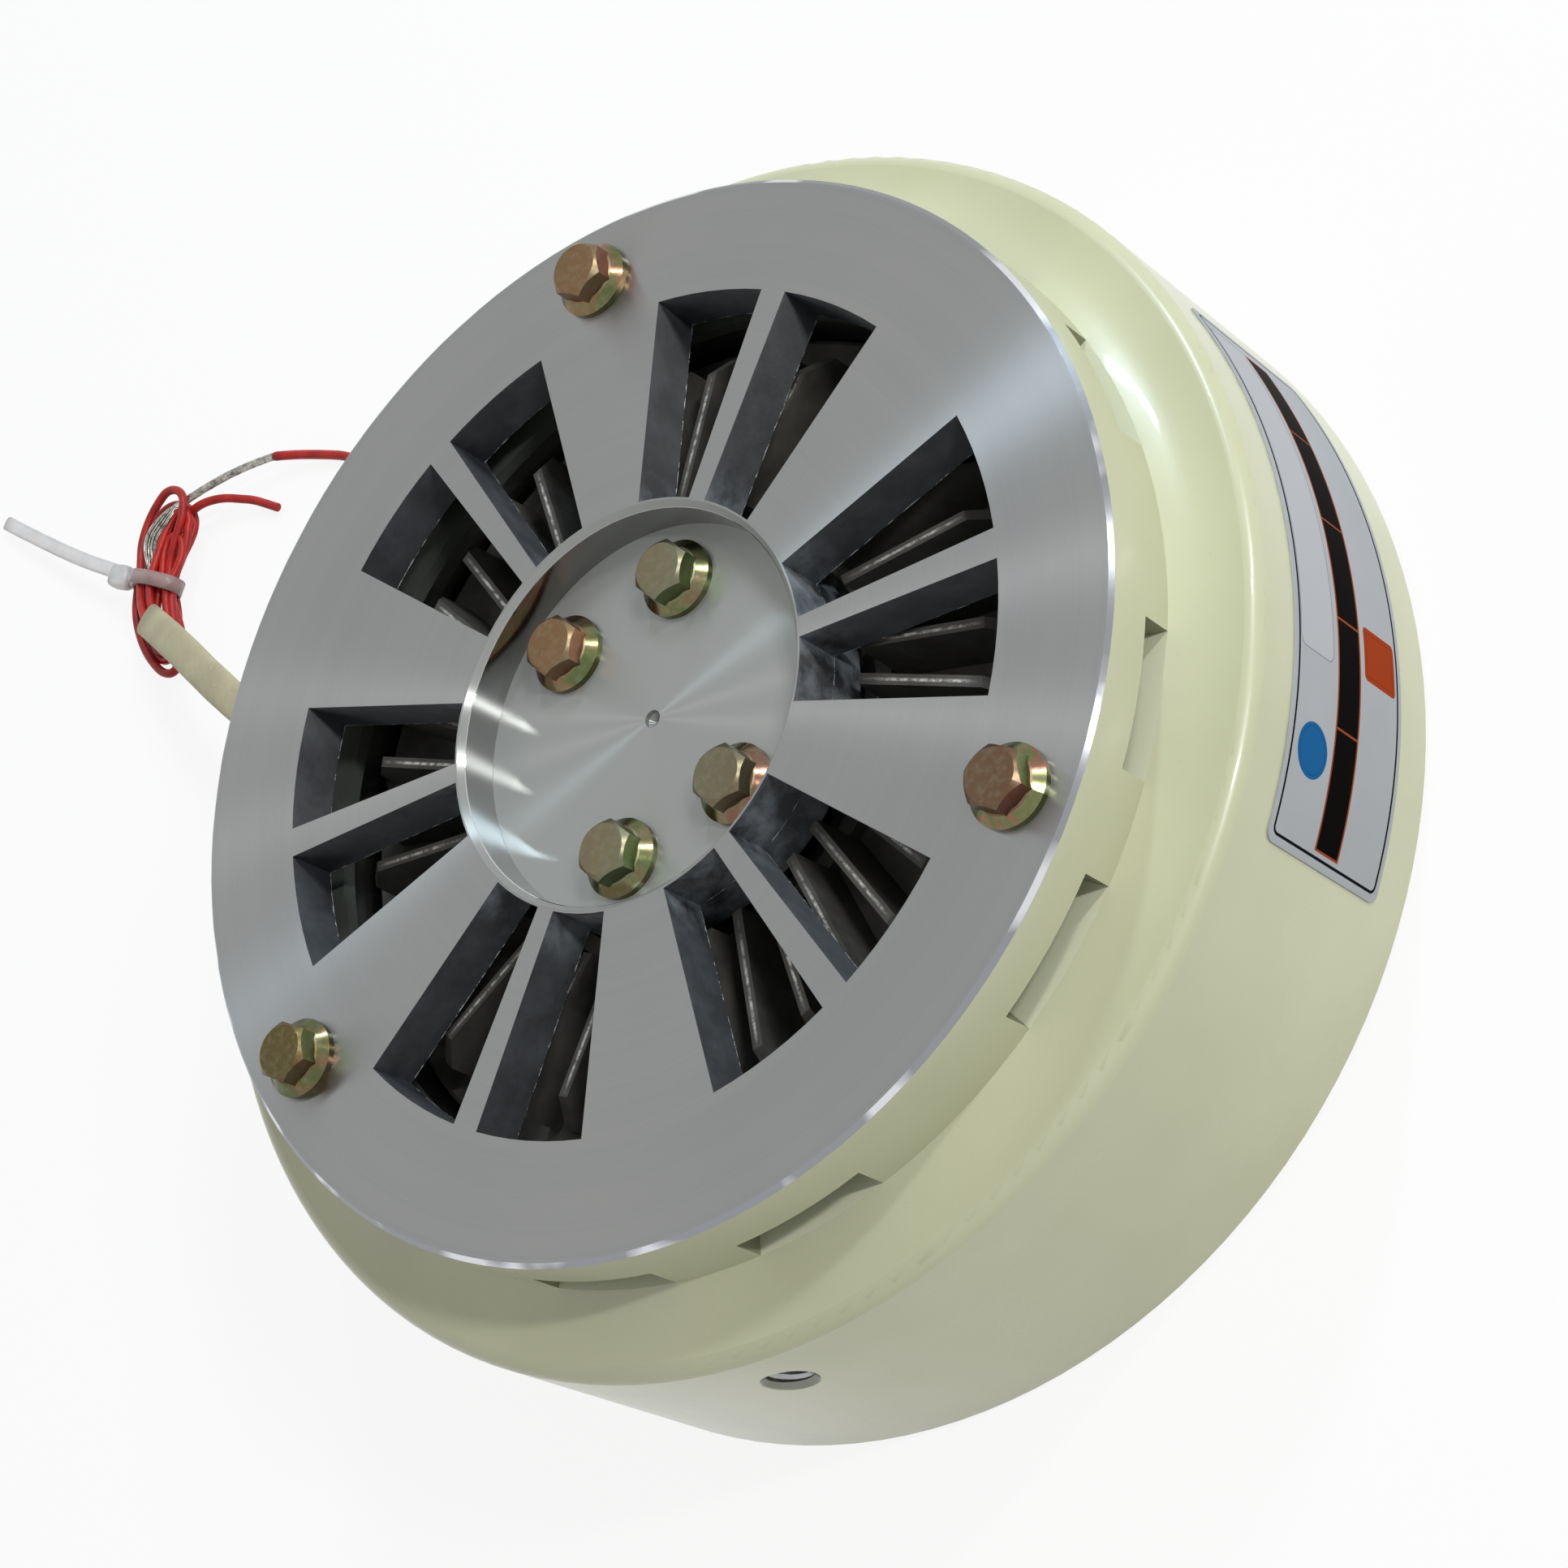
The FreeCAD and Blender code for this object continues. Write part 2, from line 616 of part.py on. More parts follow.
def hub():
    groove = rear_bearing_bore - circlip_groove
    front_groove = front_bearing_bore - circlip_groove
    journal = rear_bearing_bore - fit_gap
    front_journal = front_bearing_bore - fit_gap
    body = turned([(input_bore + bore_edge, hub_end_gap), (journal, hub_end_gap),
                   (journal, cover_lip - circlip_thickness), (groove, cover_lip - circlip_thickness),
                   (groove, cover_lip), (journal, cover_lip), (journal, hub_seat),
                   (hub_shoulder_radius, hub_seat), (hub_shoulder_radius, flange_bottom),
                   (hub_flange_radius, flange_bottom), (hub_flange_radius, drum_bottom),
                   (hub_spigot_radius, drum_bottom), (hub_spigot_radius, drum_web_top),
                   (rear_bearing_bore, drum_web_top), (rear_bearing_bore, front_bearing_bottom),
                   (front_journal, front_bearing_bottom), (front_journal, front_bearing_top),
                   (front_groove, front_bearing_top), (front_groove, front_bearing_top + circlip_thickness),
                   (front_journal, front_bearing_top + circlip_thickness), (front_journal, hub_top),
                   (input_bore, hub_top), (input_bore, hub_end_gap + bore_edge)])
    keyway = Part.makeBox(input_bore + keyway_depth, keyway_width, hub_top, Vector(0, -keyway_width / 2, 0))
    holes = on_circle(sunk_hole(flange_bottom, hub_screw_radius, hub_screw_head, hub_screw_sink,
                                hub_flange + 1, 1), hub_screw_circle, even_angles(hub_screw_count))
    return body.cut([keyway] + holes)


def hub_screws():
    screw = sunk_screw(flange_bottom, hub_screw_radius, hub_screw_head, hub_screw_sink, hub_screw_length, 1)
    return group(on_circle(screw, hub_screw_circle, even_angles(hub_screw_count)))


# Ball bearings, clips and seals

def ball_circle(bore, outer):
    return (bore + outer) / 2


def race_groove(bore, outer, ball, bottom, width):
    path_radius = ball_circle(bore, outer)
    return Part.makeTorus(path_radius, ball + ball_gap, Vector(0, 0, bottom + width / 2))


def outer_race(bore, outer, width, ball, bottom):
    inner = ball_circle(bore, outer) + 0.55 * ball
    high = bottom + width
    body = turned([(inner, bottom), (outer - race_edge, bottom), (outer, bottom + race_edge),
                   (outer, high - race_edge), (outer - race_edge, high), (inner, high)])
    return body.cut(race_groove(bore, outer, ball, bottom, width))


def inner_race(bore, outer, width, ball, bottom):
    edge = ball_circle(bore, outer) - 0.55 * ball
    high = bottom + width
    body = turned([(bore + race_edge, bottom), (edge, bottom), (edge, high), (bore + race_edge, high),
                   (bore, high - race_edge), (bore, bottom + race_edge)])
    return body.cut(race_groove(bore, outer, ball, bottom, width))


def bearing_balls(bore, outer, width, ball, count, bottom):
    sphere = Part.makeSphere(ball, Vector(0, 0, bottom + width / 2))
    return group(on_circle(sphere, ball_circle(bore, outer), even_angles(count)))


def ball_cage(bore, outer, width, ball, count, bottom):
    """A flat ribbon ring with a pocket for each ball."""
    path_radius = ball_circle(bore, outer)
    middle = bottom + width / 2
    ribbon = ring(path_radius - 0.3 * ball, path_radius + 0.3 * ball, middle - 1.1 * ball, middle + 1.1 * ball)
    pocket = Part.makeCylinder(ball + ball_gap, 4 * ball, Vector(0, 0, path_radius - 2 * ball))
    return ribbon.cut([outward(pocket, a, middle) for a in even_angles(count)])


def circlip(bore, bottom):
    """An open retaining ring that sits in its groove round a journal."""
    inner = bore - circlip_groove + fit_gap
    clip = ring(inner, inner + circlip_height, bottom, bottom + circlip_thickness)
    return clip.cut(sector(0.1, inner + 2 * circlip_height, bottom - 1, bottom + 3, 90, circlip_mouth))


def front_seal():
    low, high = drum_top, drum_top + front_seal_height
    throat = front_seal_throat
    return turned([(seal_inner, low), (seal_outer, low), (seal_outer, high), (seal_inner + throat, high),
                   (seal_inner, high - throat)])


def rear_seal():
    return ring(rear_bearing_bore + running_gap, front_bearing_outer, stator_bottom,
                stator_bottom + rear_seal_height)


# Label and lead

def rating_label():
    """A thin label bent round the housing, with rounded corners."""
    half_width = body_radius * sin(radians(label_span / 2))
    plate = Part.makeBox(body_radius, 2 * half_width, label_height, Vector(body_radius / 2, -half_width, label_bottom))
    corners = [e for e in plate.Edges if abs(e.BoundBox.XLength - body_radius) < 0.01]
    plate = plate.makeFillet(label_corner, corners)
    skin = ring(body_radius, body_radius + label_thickness, label_bottom, label_bottom + label_height)
    return turn(plate.common(skin), label_angle)


def lead_grommet():
    flange = cylinder(grommet_flange, body_radius - 1, body_radius + grommet_lip)
    neck = cylinder(grommet_neck - fit_gap, bore_radius + 0.5, body_radius)
    slot = flat_section(sleeve_width / 2 + sleeve_gap, sleeve_thickness / 2 + sleeve_gap)
    passage = Part.Face(slot).extrude(Vector(0, 0, 2 * body_radius))
    laid_flange = outward(flange, lead_angle, lead_height).cut(cylinder(body_radius, 0, top))
    body = laid_flange.fuse(outward(neck, lead_angle, lead_height))
    return body.cut(outward(passage, lead_angle, lead_height))


def flat_section(half_width, half_height):
    """A flat oval in the XY plane, its width along Y, its height along X."""
    straight = half_width - half_height
    left = Part.makeLine(Vector(-half_height, -straight, 0), Vector(-half_height, straight, 0))
    right = Part.makeLine(Vector(half_height, straight, 0), Vector(half_height, -straight, 0))
    far = Part.Arc(Vector(-half_height, straight, 0), Vector(0, half_width, 0),
                   Vector(half_height, straight, 0)).toShape()
    near = Part.Arc(Vector(half_height, -straight, 0), Vector(0, -half_width, 0),
                    Vector(-half_height, -straight, 0)).toShape()
    return Part.Wire([left, far, right, near])


def bent_path(points, name):
    """Straight runs joined by tangent arcs, each as large as its two runs allow."""
    route = [Vector(*p) for p in points]
    edges, start, tightest = [], route[0], None
    for before, corner, after in zip(route, route[1:], route[2:]):
        arriving, leaving = (corner - before), (after - corner)
        shorter = min(arriving.Length, leaving.Length)
        arriving.normalize()
        leaving.normalize()
        half_turn = arriving.getAngle(leaving) / 2
        setback = 0.45 * shorter
        radius = setback / tan(half_turn)
        tightest = radius if tightest is None else min(tightest, radius)
        first, last = corner - arriving * setback, corner + leaving * setback
        inward = leaving - arriving
        inward.normalize()
        middle = corner + inward * (radius / cos(half_turn) - radius)
        edges.append(Part.LineSegment(start, first).toShape())
        edges.append(Part.Arc(first, middle, last).toShape())
        start = last
    edges.append(Part.LineSegment(start, route[-1]).toShape())
    path = Part.Wire(edges)
    print(name, "length", round(path.Length, 1), "tightest radius", round(tightest, 1))
    return path


def tube_along(points, section, name):
    """Sweeps a section, drawn in the XY plane, along a route while it stays upright."""
    path = bent_path(points, name)
    start = Vector(*points[0])
    ahead = (Vector(*points[1]) - start).normalize()
    side = Vector(0, 0, 1).cross(ahead).normalize()
    up = ahead.cross(side)
    placed = section.copy()
    placed.Placement = Placement(start, Rotation(up, side, ahead, "ZXY"))
    sweep = Part.BRepOffsetAPI.MakePipeShell(path)
    sweep.setBiNormalMode(Vector(0, 0, 1))
    sweep.add(placed)
    sweep.build()
    sweep.makeSolid()
    tube = sweep.shape()
    expected = Part.Face(section).Area * path.Length
    print(name, "volume", round(tube.Volume, 1), "section times length", round(expected, 1))
    return tube


def round_section(radius):
    return Part.Wire(Part.makeCircle(radius))


def lead_sleeve():
    return tube_along(sleeve_route, flat_section(sleeve_width / 2, sleeve_thickness / 2), "lead_sleeve")


def lead_wires():
    """The two wires between the sleeve's open end and the hank, side by side."""
    ahead = Vector(*wire_route[1]) - Vector(*wire_route[0])
    side = Vector(-ahead.y, ahead.x, 0).normalize() * wire_spread
    wires = []
    for sign in (-1, 1):
        route = [(x + sign * side.x, y + sign * side.y, z) for x, y, z in wire_route]
        wires.append(tube_along(route, round_section(wire_radius), "lead_wires"))
    return group(wires)


def at_waist(shape, base):
    """Places a shape drawn with the hank's waist along X at that waist."""
    x, y, heading = hank_waist_place
    placed = shape.copy()
    placed.rotate(Vector(0, 0, 0), Vector(0, 0, 1), heading)
    placed.translate(Vector(x, y, base))
    return placed


def hank_lobe(x, y, heading, half_length, half_width):
    """One rounded end of the hank, as a flat oval block."""
    oval = Part.Wire(Part.Ellipse(Vector(0, 0, 0), half_length, half_width).toShape())
    block = Part.Face(oval).extrude(Vector(0, 0, hank_thickness))
    block.rotate(Vector(0, 0, 0), Vector(0, 0, 1), heading)
    block.translate(Vector(x, y, hank_bottom))
    return block


def wire_hank():
    lift = hank_bottom + (hank_thickness - hank_waist_thickness) / 2
    waist = Part.makeBox(hank_waist_length, hank_waist_width, hank_waist_thickness,
                         Vector(-hank_waist_length / 2, -hank_waist_width / 2, 0))
    lobes = [hank_lobe(*lobe) for lobe in hank_lobes]
    tie_room = Part.makeBox(tie_width + 2 * tie_gap, 4 * hank_waist_width, 2 * hank_thickness,
                            Vector(-tie_width / 2 - tie_gap, -2 * hank_waist_width, -hank_thickness / 2))
    lobes = [lobe.cut(at_waist(tie_room, lift)) for lobe in lobes]
    return at_waist(waist, lift).fuse(lobes).removeSplitter()


def cable_tie():
    lift = hank_bottom + (hank_thickness - hank_waist_thickness) / 2
    inner_width = hank_waist_width + 2 * tie_gap
    inner_height = hank_waist_thickness + 2 * tie_gap
    outer = Part.makeBox(tie_width, inner_width + 2 * tie_thickness, inner_height + 2 * tie_thickness,
                         Vector(-tie_width / 2, -inner_width / 2 - tie_thickness, -tie_gap - tie_thickness))
    inner = Part.makeBox(2 * tie_width, inner_width, inner_height, Vector(-tie_width, -inner_width / 2, -tie_gap))
    length, depth, height = tie_head
    head = Part.makeBox(depth, length, height,
                        Vector(-depth / 2, inner_width / 2 + tie_thickness - 0.2, hank_waist_thickness / 2 - 1))
    band = at_waist(outer.cut(inner).fuse(head), lift)
    strap = flat_section(tie_width / 2 - 0.1, tie_thickness / 2)
    return band.fuse(tube_along(tie_tail_route, strap, "cable_tie tail"))


def tinned_end():
    return tube_along(tinned_route, round_section(wire_radius), "tinned_end")


def red_end():
    return tube_along(red_route, round_section(wire_radius), "red_end")


# Every sub-part by its name

def rear_set(make, *more):
    return make(rear_bearing_bore, rear_bearing_outer, rear_bearing_width, rear_ball_radius, *more, cover_lip)


def front_set(make, *more):
    return make(front_bearing_bore, front_bearing_outer, front_bearing_width, front_ball_radius, *more,
                front_bearing_bottom)


sub_parts = {
    "front_bracket": front_bracket,
    "bracket_bolts": bracket_bolts,
    "stator_bolts": stator_bolts,
    "field_housing": field_housing,
    "rear_pole_ring": rear_pole_ring,
    "coil_bobbin": coil_bobbin,
    "coil_winding": coil_winding,
    "coil_wrap": coil_wrap,
    "rear_cover": rear_cover,
    "cover_screws": cover_screws,
    "inner_stator": inner_stator,
    "powder_charge": powder_charge,
    "drum_rear_cup": drum_rear_cup,
    "drum_barrier_ring": drum_barrier_ring,
    "drum_front_ring": drum_front_ring,
    "front_fan": front_fan,
    "fan_screws": fan_screws,
    "hub": hub,
    "hub_screws": hub_screws,
    "rear_outer_race": lambda: rear_set(outer_race),
    "rear_inner_race": lambda: rear_set(inner_race),
    "rear_balls": lambda: rear_set(bearing_balls, rear_ball_count),
    "rear_cage": lambda: rear_set(ball_cage, rear_ball_count),
    "front_outer_race": lambda: front_set(outer_race),
    "front_inner_race": lambda: front_set(inner_race),
    "front_balls": lambda: front_set(bearing_balls, front_ball_count),
    "front_cage": lambda: front_set(ball_cage, front_ball_count),
    "rear_circlip": lambda: circlip(rear_bearing_bore, cover_lip - circlip_thickness),
    "front_circlip": lambda: circlip(front_bearing_bore, front_bearing_top),
    "front_seal": front_seal,
    "rear_seal": rear_seal,
    "rating_label": rating_label,
    "lead_grommet": lead_grommet,
    "lead_sleeve": lead_sleeve,
    "lead_wires": lead_wires,
    "wire_hank": wire_hank,
    "cable_tie": cable_tie,
    "tinned_end": tinned_end,
    "red_end": red_end,
}

os.makedirs("parts", exist_ok=True)
for name, make in sub_parts.items():
    shape = make()
    if not shape.isValid():
        print(name, "is not valid")
    shape.exportStep("parts/" + name + ".step")
    print(name, len(shape.Solids), round(shape.Volume, 1))
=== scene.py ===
"""The looks of a magnetic powder brake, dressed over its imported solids. Metres, in the part's own frame."""

import math

import bmesh
import bpy
from mathutils import Matrix, Vector, noise
from mathutils.geometry import convex_hull_2d


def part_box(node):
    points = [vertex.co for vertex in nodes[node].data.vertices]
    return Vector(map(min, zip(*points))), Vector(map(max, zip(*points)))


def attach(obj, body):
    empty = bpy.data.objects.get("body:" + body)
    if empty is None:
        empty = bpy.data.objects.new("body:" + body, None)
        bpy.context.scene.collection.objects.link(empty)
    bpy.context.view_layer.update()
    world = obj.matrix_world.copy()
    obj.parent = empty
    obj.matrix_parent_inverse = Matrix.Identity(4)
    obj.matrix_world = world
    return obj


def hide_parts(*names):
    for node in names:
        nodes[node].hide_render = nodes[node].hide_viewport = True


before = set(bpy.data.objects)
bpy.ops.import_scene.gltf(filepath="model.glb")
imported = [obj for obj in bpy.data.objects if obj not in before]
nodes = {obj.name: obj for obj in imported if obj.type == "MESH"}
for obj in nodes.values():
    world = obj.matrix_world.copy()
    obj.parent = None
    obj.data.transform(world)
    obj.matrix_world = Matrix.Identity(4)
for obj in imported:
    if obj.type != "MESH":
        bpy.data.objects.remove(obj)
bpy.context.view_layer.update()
mm = 0.001

# Read off the solids, in metres
plate_radius, _, plate_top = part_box("front_bracket")[1]
body_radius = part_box("field_housing")[1].x
fan_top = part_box("front_fan")[1].z
label_low, label_high = (corner.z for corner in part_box("rating_label"))

# The same values as in the part's source, in millimetres and degrees
plate_thickness = 8.0
recess_radius = 29.2
boss_radius = 30.4
window_radius = 62.0
bore_radius = 82.0
blade_count = 40
blade_first = 3.0
blade_lean = -9.0
blade_pitch_radius = 47.5
label_heading = 15.75
label_span = 52.5
label_skin = 0.25
side_hole_heading = 286.0
side_hole_height = 34.3
side_hole_radius = 3.4
mount_hole_count = 4
mount_hole_circle = 60.0
mount_hole_heading = 45.0
mount_hole_radius = 2.5

# The printed sheet has a smaller corner than its plain solid
label_corner = 1.5


# Camera

def stand_camera():
    """The view of the photograph, solved from the plate's and the body's outlines."""
    lens = bpy.data.cameras.new("camera")
    lens.sensor_width = 36.0
    lens.lens = 82.45
    lens.clip_start = 0.01
    camera = bpy.data.objects.new("camera", lens)
    bpy.context.scene.collection.objects.link(camera)
    right = Vector((0.788935, 0.149802, -0.595937))
    up = Vector((0.061690, 0.945620, 0.319371))
    back = Vector((0.611372, -0.288726, 0.736791))
    stand = Matrix((right, up, back)).transposed().to_4x4()
    stand.translation = Vector((0.3189, -0.1499, 0.4090))
    camera.matrix_world = stand
    bpy.context.scene.camera = camera


# Materials

def linear(colour):
    """An sRGB hex colour as linear red, green, blue and full alpha."""
    parts = [int(colour[place:place + 2], 16) / 255 for place in (1, 3, 5)]
    return [p / 12.92 if p <= 0.04045 else ((p + 0.055) / 1.055) ** 2.4 for p in parts] + [1.0]


def per(size):
    """The pattern scale at which one feature is this many millimetres long."""
    return 1000.0 / size


def add(finish, kind, inputs=None, output=0, stops=(), **settings):
    """Adds a node with its settings and colour stops, feeds its inputs with values, hex colours or other
    nodes' outputs, gives one output."""
    node = finish.node_tree.nodes.new("ShaderNode" + kind)
    for name, value in settings.items():
        setattr(node, name, value)
    if stops:
        for _ in stops[2:]:
            node.color_ramp.elements.new(0.5)
        for element, (position, shade) in zip(node.color_ramp.elements, stops):
            element.position, element.color = position, linear(shade)
    for name, value in (inputs or {}).items():
        if isinstance(value, bpy.types.NodeSocket):
            finish.node_tree.links.new(value, node.inputs[name])
        else:
            node.inputs[name].default_value = linear(value) if isinstance(value, str) else value
    return node.outputs[output] if node.outputs else None


def new_finish(name):
    finish = bpy.data.materials.new(name)
    finish.use_nodes = True
    finish.node_tree.nodes.clear()
    return finish


def surfaced(finish, height, strength, depth, looks):
    """Ends a finish with a shader of these looks, over a relief this many millimetres deep."""
    relief = add(finish, "Bump", {"Height": height, "Strength": strength, "Distance": depth * mm})
    shader = add(finish, "BsdfPrincipled", {"Normal": relief, **looks})
    add(finish, "OutputMaterial", {"Surface": shader})
    return finish


def around_axis(finish):
    """The surface point in the part's own frame, its distance from the axis, its angle and its height."""
    place = add(finish, "TexCoord", output="Object")
    split = add(finish, "SeparateXYZ", {"Vector": place})
    x, y, height = split.node.outputs
    flat = add(finish, "VectorMath", {0: place, 1: (1.0, 1.0, 0.0)}, operation="MULTIPLY")
    distance = add(finish, "VectorMath", {0: flat}, "Value", operation="LENGTH")
    angle = add(finish, "Math", {0: y, 1: x}, operation="ARCTAN2")
    return place, distance, angle, height


def ring_zone(finish, distance, height, inner, outer, low, high):
    """1 on the surfaces between two radii and two heights, in millimetres, and 0 elsewhere."""
    across = add(finish, "Math", {0: distance, 1: (inner + outer) / 2 * mm, 2: (outer - inner) / 2 * mm},
                 operation="COMPARE")
    upright = add(finish, "Math", {0: height, 1: (low + high) / 2 * mm, 2: (high - low) / 2 * mm},
                  operation="COMPARE")
    return add(finish, "Math", {0: across, 1: upright}, operation="MULTIPLY")


def lathe_marks(finish, distance, height, spacing):
    """Fine rings that a lathe tool leaves, a little uneven, this many millimetres apart."""
    track = add(finish, "CombineXYZ", {"X": distance, "Z": height})
    return add(finish, "TexNoise", {"Vector": track, "Scale": per(spacing), "Detail": 3.0, "Roughness": 0.7})


def patches(finish, place, size, detail, low, high, levels=(0.0, 1.0), breakup=0.5):
    """Cloudy patches of this size in millimetres: the first level where the noise is below low, the second
    where it is above high."""
    cloud = add(finish, "TexNoise", {"Vector": place, "Scale": per(size), "Detail": detail,
                                     "Roughness": breakup})
    return add(finish, "MapRange", {"Value": cloud, "From Min": low, "From Max": high,
                                    "To Min": levels[0], "To Max": levels[1]})


def bracket_casting():
    """Cast aluminium. The face, the recess and the rim's edge are turned bright, which leaves fine rings and
    long soft rays of light, and the rim's edge has painted glints in patches. Rim and teeth are sprayed
    cream, thinly on the teeth's inner walls. The windows stay as cast, dark slate and worn lighter by the
    boss, with a thin pale flash below."""
    finish = new_finish("cast_aluminium_turned_and_sprayed")
    place, distance, angle, height = around_axis(finish)
    top, rim = plate_top / mm, plate_radius / mm
    under = top - plate_thickness
    # Each zone reaches a hair past the surfaces that it covers
    face = ring_zone(finish, distance, height, 0.0, rim, top - 0.03, top + 1)
    edge = ring_zone(finish, distance, height, rim - 0.7, rim + 0.1, top - 0.63, top + 1)
    recess = ring_zone(finish, distance, height, 0.0, recess_radius + 1, top - 10, top - 0.03)
    wall = ring_zone(finish, distance, height, recess_radius - 0.1, recess_radius + 0.1, top - 6.8, top - 0.8)
    outside = ring_zone(finish, distance, height, rim - 0.05, rim + 1, 0.0, top - 0.62)
    teeth = ring_zone(finish, distance, height, rim - 6.8, rim - 0.05, 0.0, under + 0.05)
    turned = add(finish, "Math", {0: face, 1: edge}, operation="MAXIMUM")
    turned = add(finish, "Math", {0: turned, 1: recess}, operation="MAXIMUM")
    sprayed = add(finish, "Math", {0: outside, 1: teeth}, operation="MAXIMUM")

    # The feed of a turned face is about 0.1 mm a turn, drawn at 0.5 mm so that the rings show
    rings = lathe_marks(finish, distance, height, 0.5)
    wide_rings = lathe_marks(finish, distance, height, 6.0)
    cloud = add(finish, "TexNoise", {"Vector": place, "Scale": per(45.0), "Detail": 2.0})
    shade = add(finish, "Math", {0: rings, 1: wide_rings}, operation="ADD")
    shade = add(finish, "Math", {0: shade, 1: cloud}, operation="ADD")
    shade = add(finish, "MapRange", {"Value": shade, "From Min": 1.05, "From Max": 1.95})
    bright = add(finish, "Mix", {0: shade, 6: "#8b8d8e", 7: "#939492"}, 2, data_type="RGBA")
    # The recess wall is painted paler on one side and darker on the other, a painted reflection, and the
    # rim's edge has painted glints in patches
    wall_reflection_side = add(finish, "Math", {0: angle}, operation="SINE")
    wall_reflection_side = add(finish, "MapRange", {"Value": wall_reflection_side, "From Min": -0.7, "From Max": 0.7})
    painted_wall_reflection = add(finish, "Mix", {0: wall_reflection_side, 6: "#cdcecd", 7: "#8e8f8e"}, 2, data_type="RGBA")
    # Painted highlight: near-white patches on the rim's edge stand in for glints of light
    glint = patches(finish, place, 12.0, 2.0, 0.52, 0.62)
    edge_painted_glints = add(finish, "Mix", {0: glint, 6: "#93959a", 7: "#dcdde2"}, 2, data_type="RGBA")
    for zone, shade in ((recess, "#969895"), (wall, painted_wall_reflection), (edge, edge_painted_glints)):
        bright = add(finish, "Mix", {0: zone, 6: bright, 7: shade}, 2, data_type="RGBA")

    # As cast: sand grain, clouds of wear that gather towards the boss, ragged flash under the windows
    wear = patches(finish, place, 6.0, 6.0, 0.40, 0.72, breakup=0.62)
    by_boss = add(finish, "MapRange", {"Value": distance, "From Min": (boss_radius + 0.1) * mm,
                                       "From Max": (boss_radius + 6.6) * mm, "To Min": 1.0, "To Max": 0.16})
    wear = add(finish, "Math", {0: wear, 1: by_boss}, operation="MULTIPLY")
    raw = add(finish, "Mix", {0: wear, 6: "#2d3034", 7: "#8d949a"}, 2, data_type="RGBA")
    flash_top = patches(finish, place, 1.6, 3.0, 0.45, 0.75, ((under - 0.02) * mm, (under + 0.26) * mm), 0.7)
    flash = add(finish, "Math", {0: height, 1: flash_top}, operation="LESS_THAN")
    by_window = ring_zone(finish, distance, height, boss_radius - 0.4, window_radius + 0.4, under - 0.005,
                          under + 1)
    flash = add(finish, "Math", {0: flash, 1: by_window}, operation="MULTIPLY")
    raw = add(finish, "Mix", {0: flash, 6: raw, 7: "#dfe3e5"}, 2, data_type="RGBA")

    # Sprayed cream, thin and greyish green on the teeth's inner walls
    coat = add(finish, "TexNoise", {"Vector": place, "Scale": per(26.0), "Detail": 2.0})
    coat = add(finish, "Mix", {0: coat, 6: "#bcbe9d", 7: "#cacbab"}, 2, data_type="RGBA")
    coat = add(finish, "Mix", {0: teeth, 6: coat, 7: "#8f9276"}, 2, data_type="RGBA")
    colour = add(finish, "Mix", {0: turned, 6: raw, 7: bright}, 2, data_type="RGBA")
    colour = add(finish, "Mix", {0: sprayed, 6: colour, 7: coat}, 2, data_type="RGBA")

    # A thin bloom of oil and dust veils the rays of light in the recess, and its wall stays a mirror
    metal = turned
    rough = add(finish, "MapRange", {"Value": rings, "From Min": 0.3, "From Max": 0.7,
                                     "To Min": 0.285, "To Max": 0.275})
    rough = add(finish, "Mix", {0: turned, 2: 0.48, 3: rough})
    for zone, bare_share, roughness in ((recess, 0.42, 0.29), (wall, 1.0, 0.06), (sprayed, 0.0, 0.24)):
        metal = add(finish, "Mix", {0: zone, 2: metal, 3: bare_share})
        rough = add(finish, "Mix", {0: zone, 2: rough, 3: roughness})
    sand = add(finish, "TexNoise", {"Vector": place, "Scale": per(0.8), "Detail": 4.0, "Roughness": 0.6})
    grain = add(finish, "Mix", {0: turned, 2: sand, 3: 0.5})
    peel = add(finish, "TexNoise", {"Vector": place, "Scale": per(2.0), "Detail": 1.0})
    grain = add(finish, "Mix", {0: outside, 2: grain, 3: peel})
    grooves = add(finish, "Tangent", direction_type="RADIAL", axis="Z")
    gloss = add(finish, "Math", {0: outside, 1: 0.5}, operation="MULTIPLY")
    return surfaced(finish, grain, 0.25, 0.06, {
        "Base Color": colour, "Metallic": metal, "Roughness": rough, "Tangent": grooves, "Anisotropic": 1.0,
        "Anisotropic Rotation": 0.25, "Coat Weight": gloss, "Coat Roughness": 0.12})


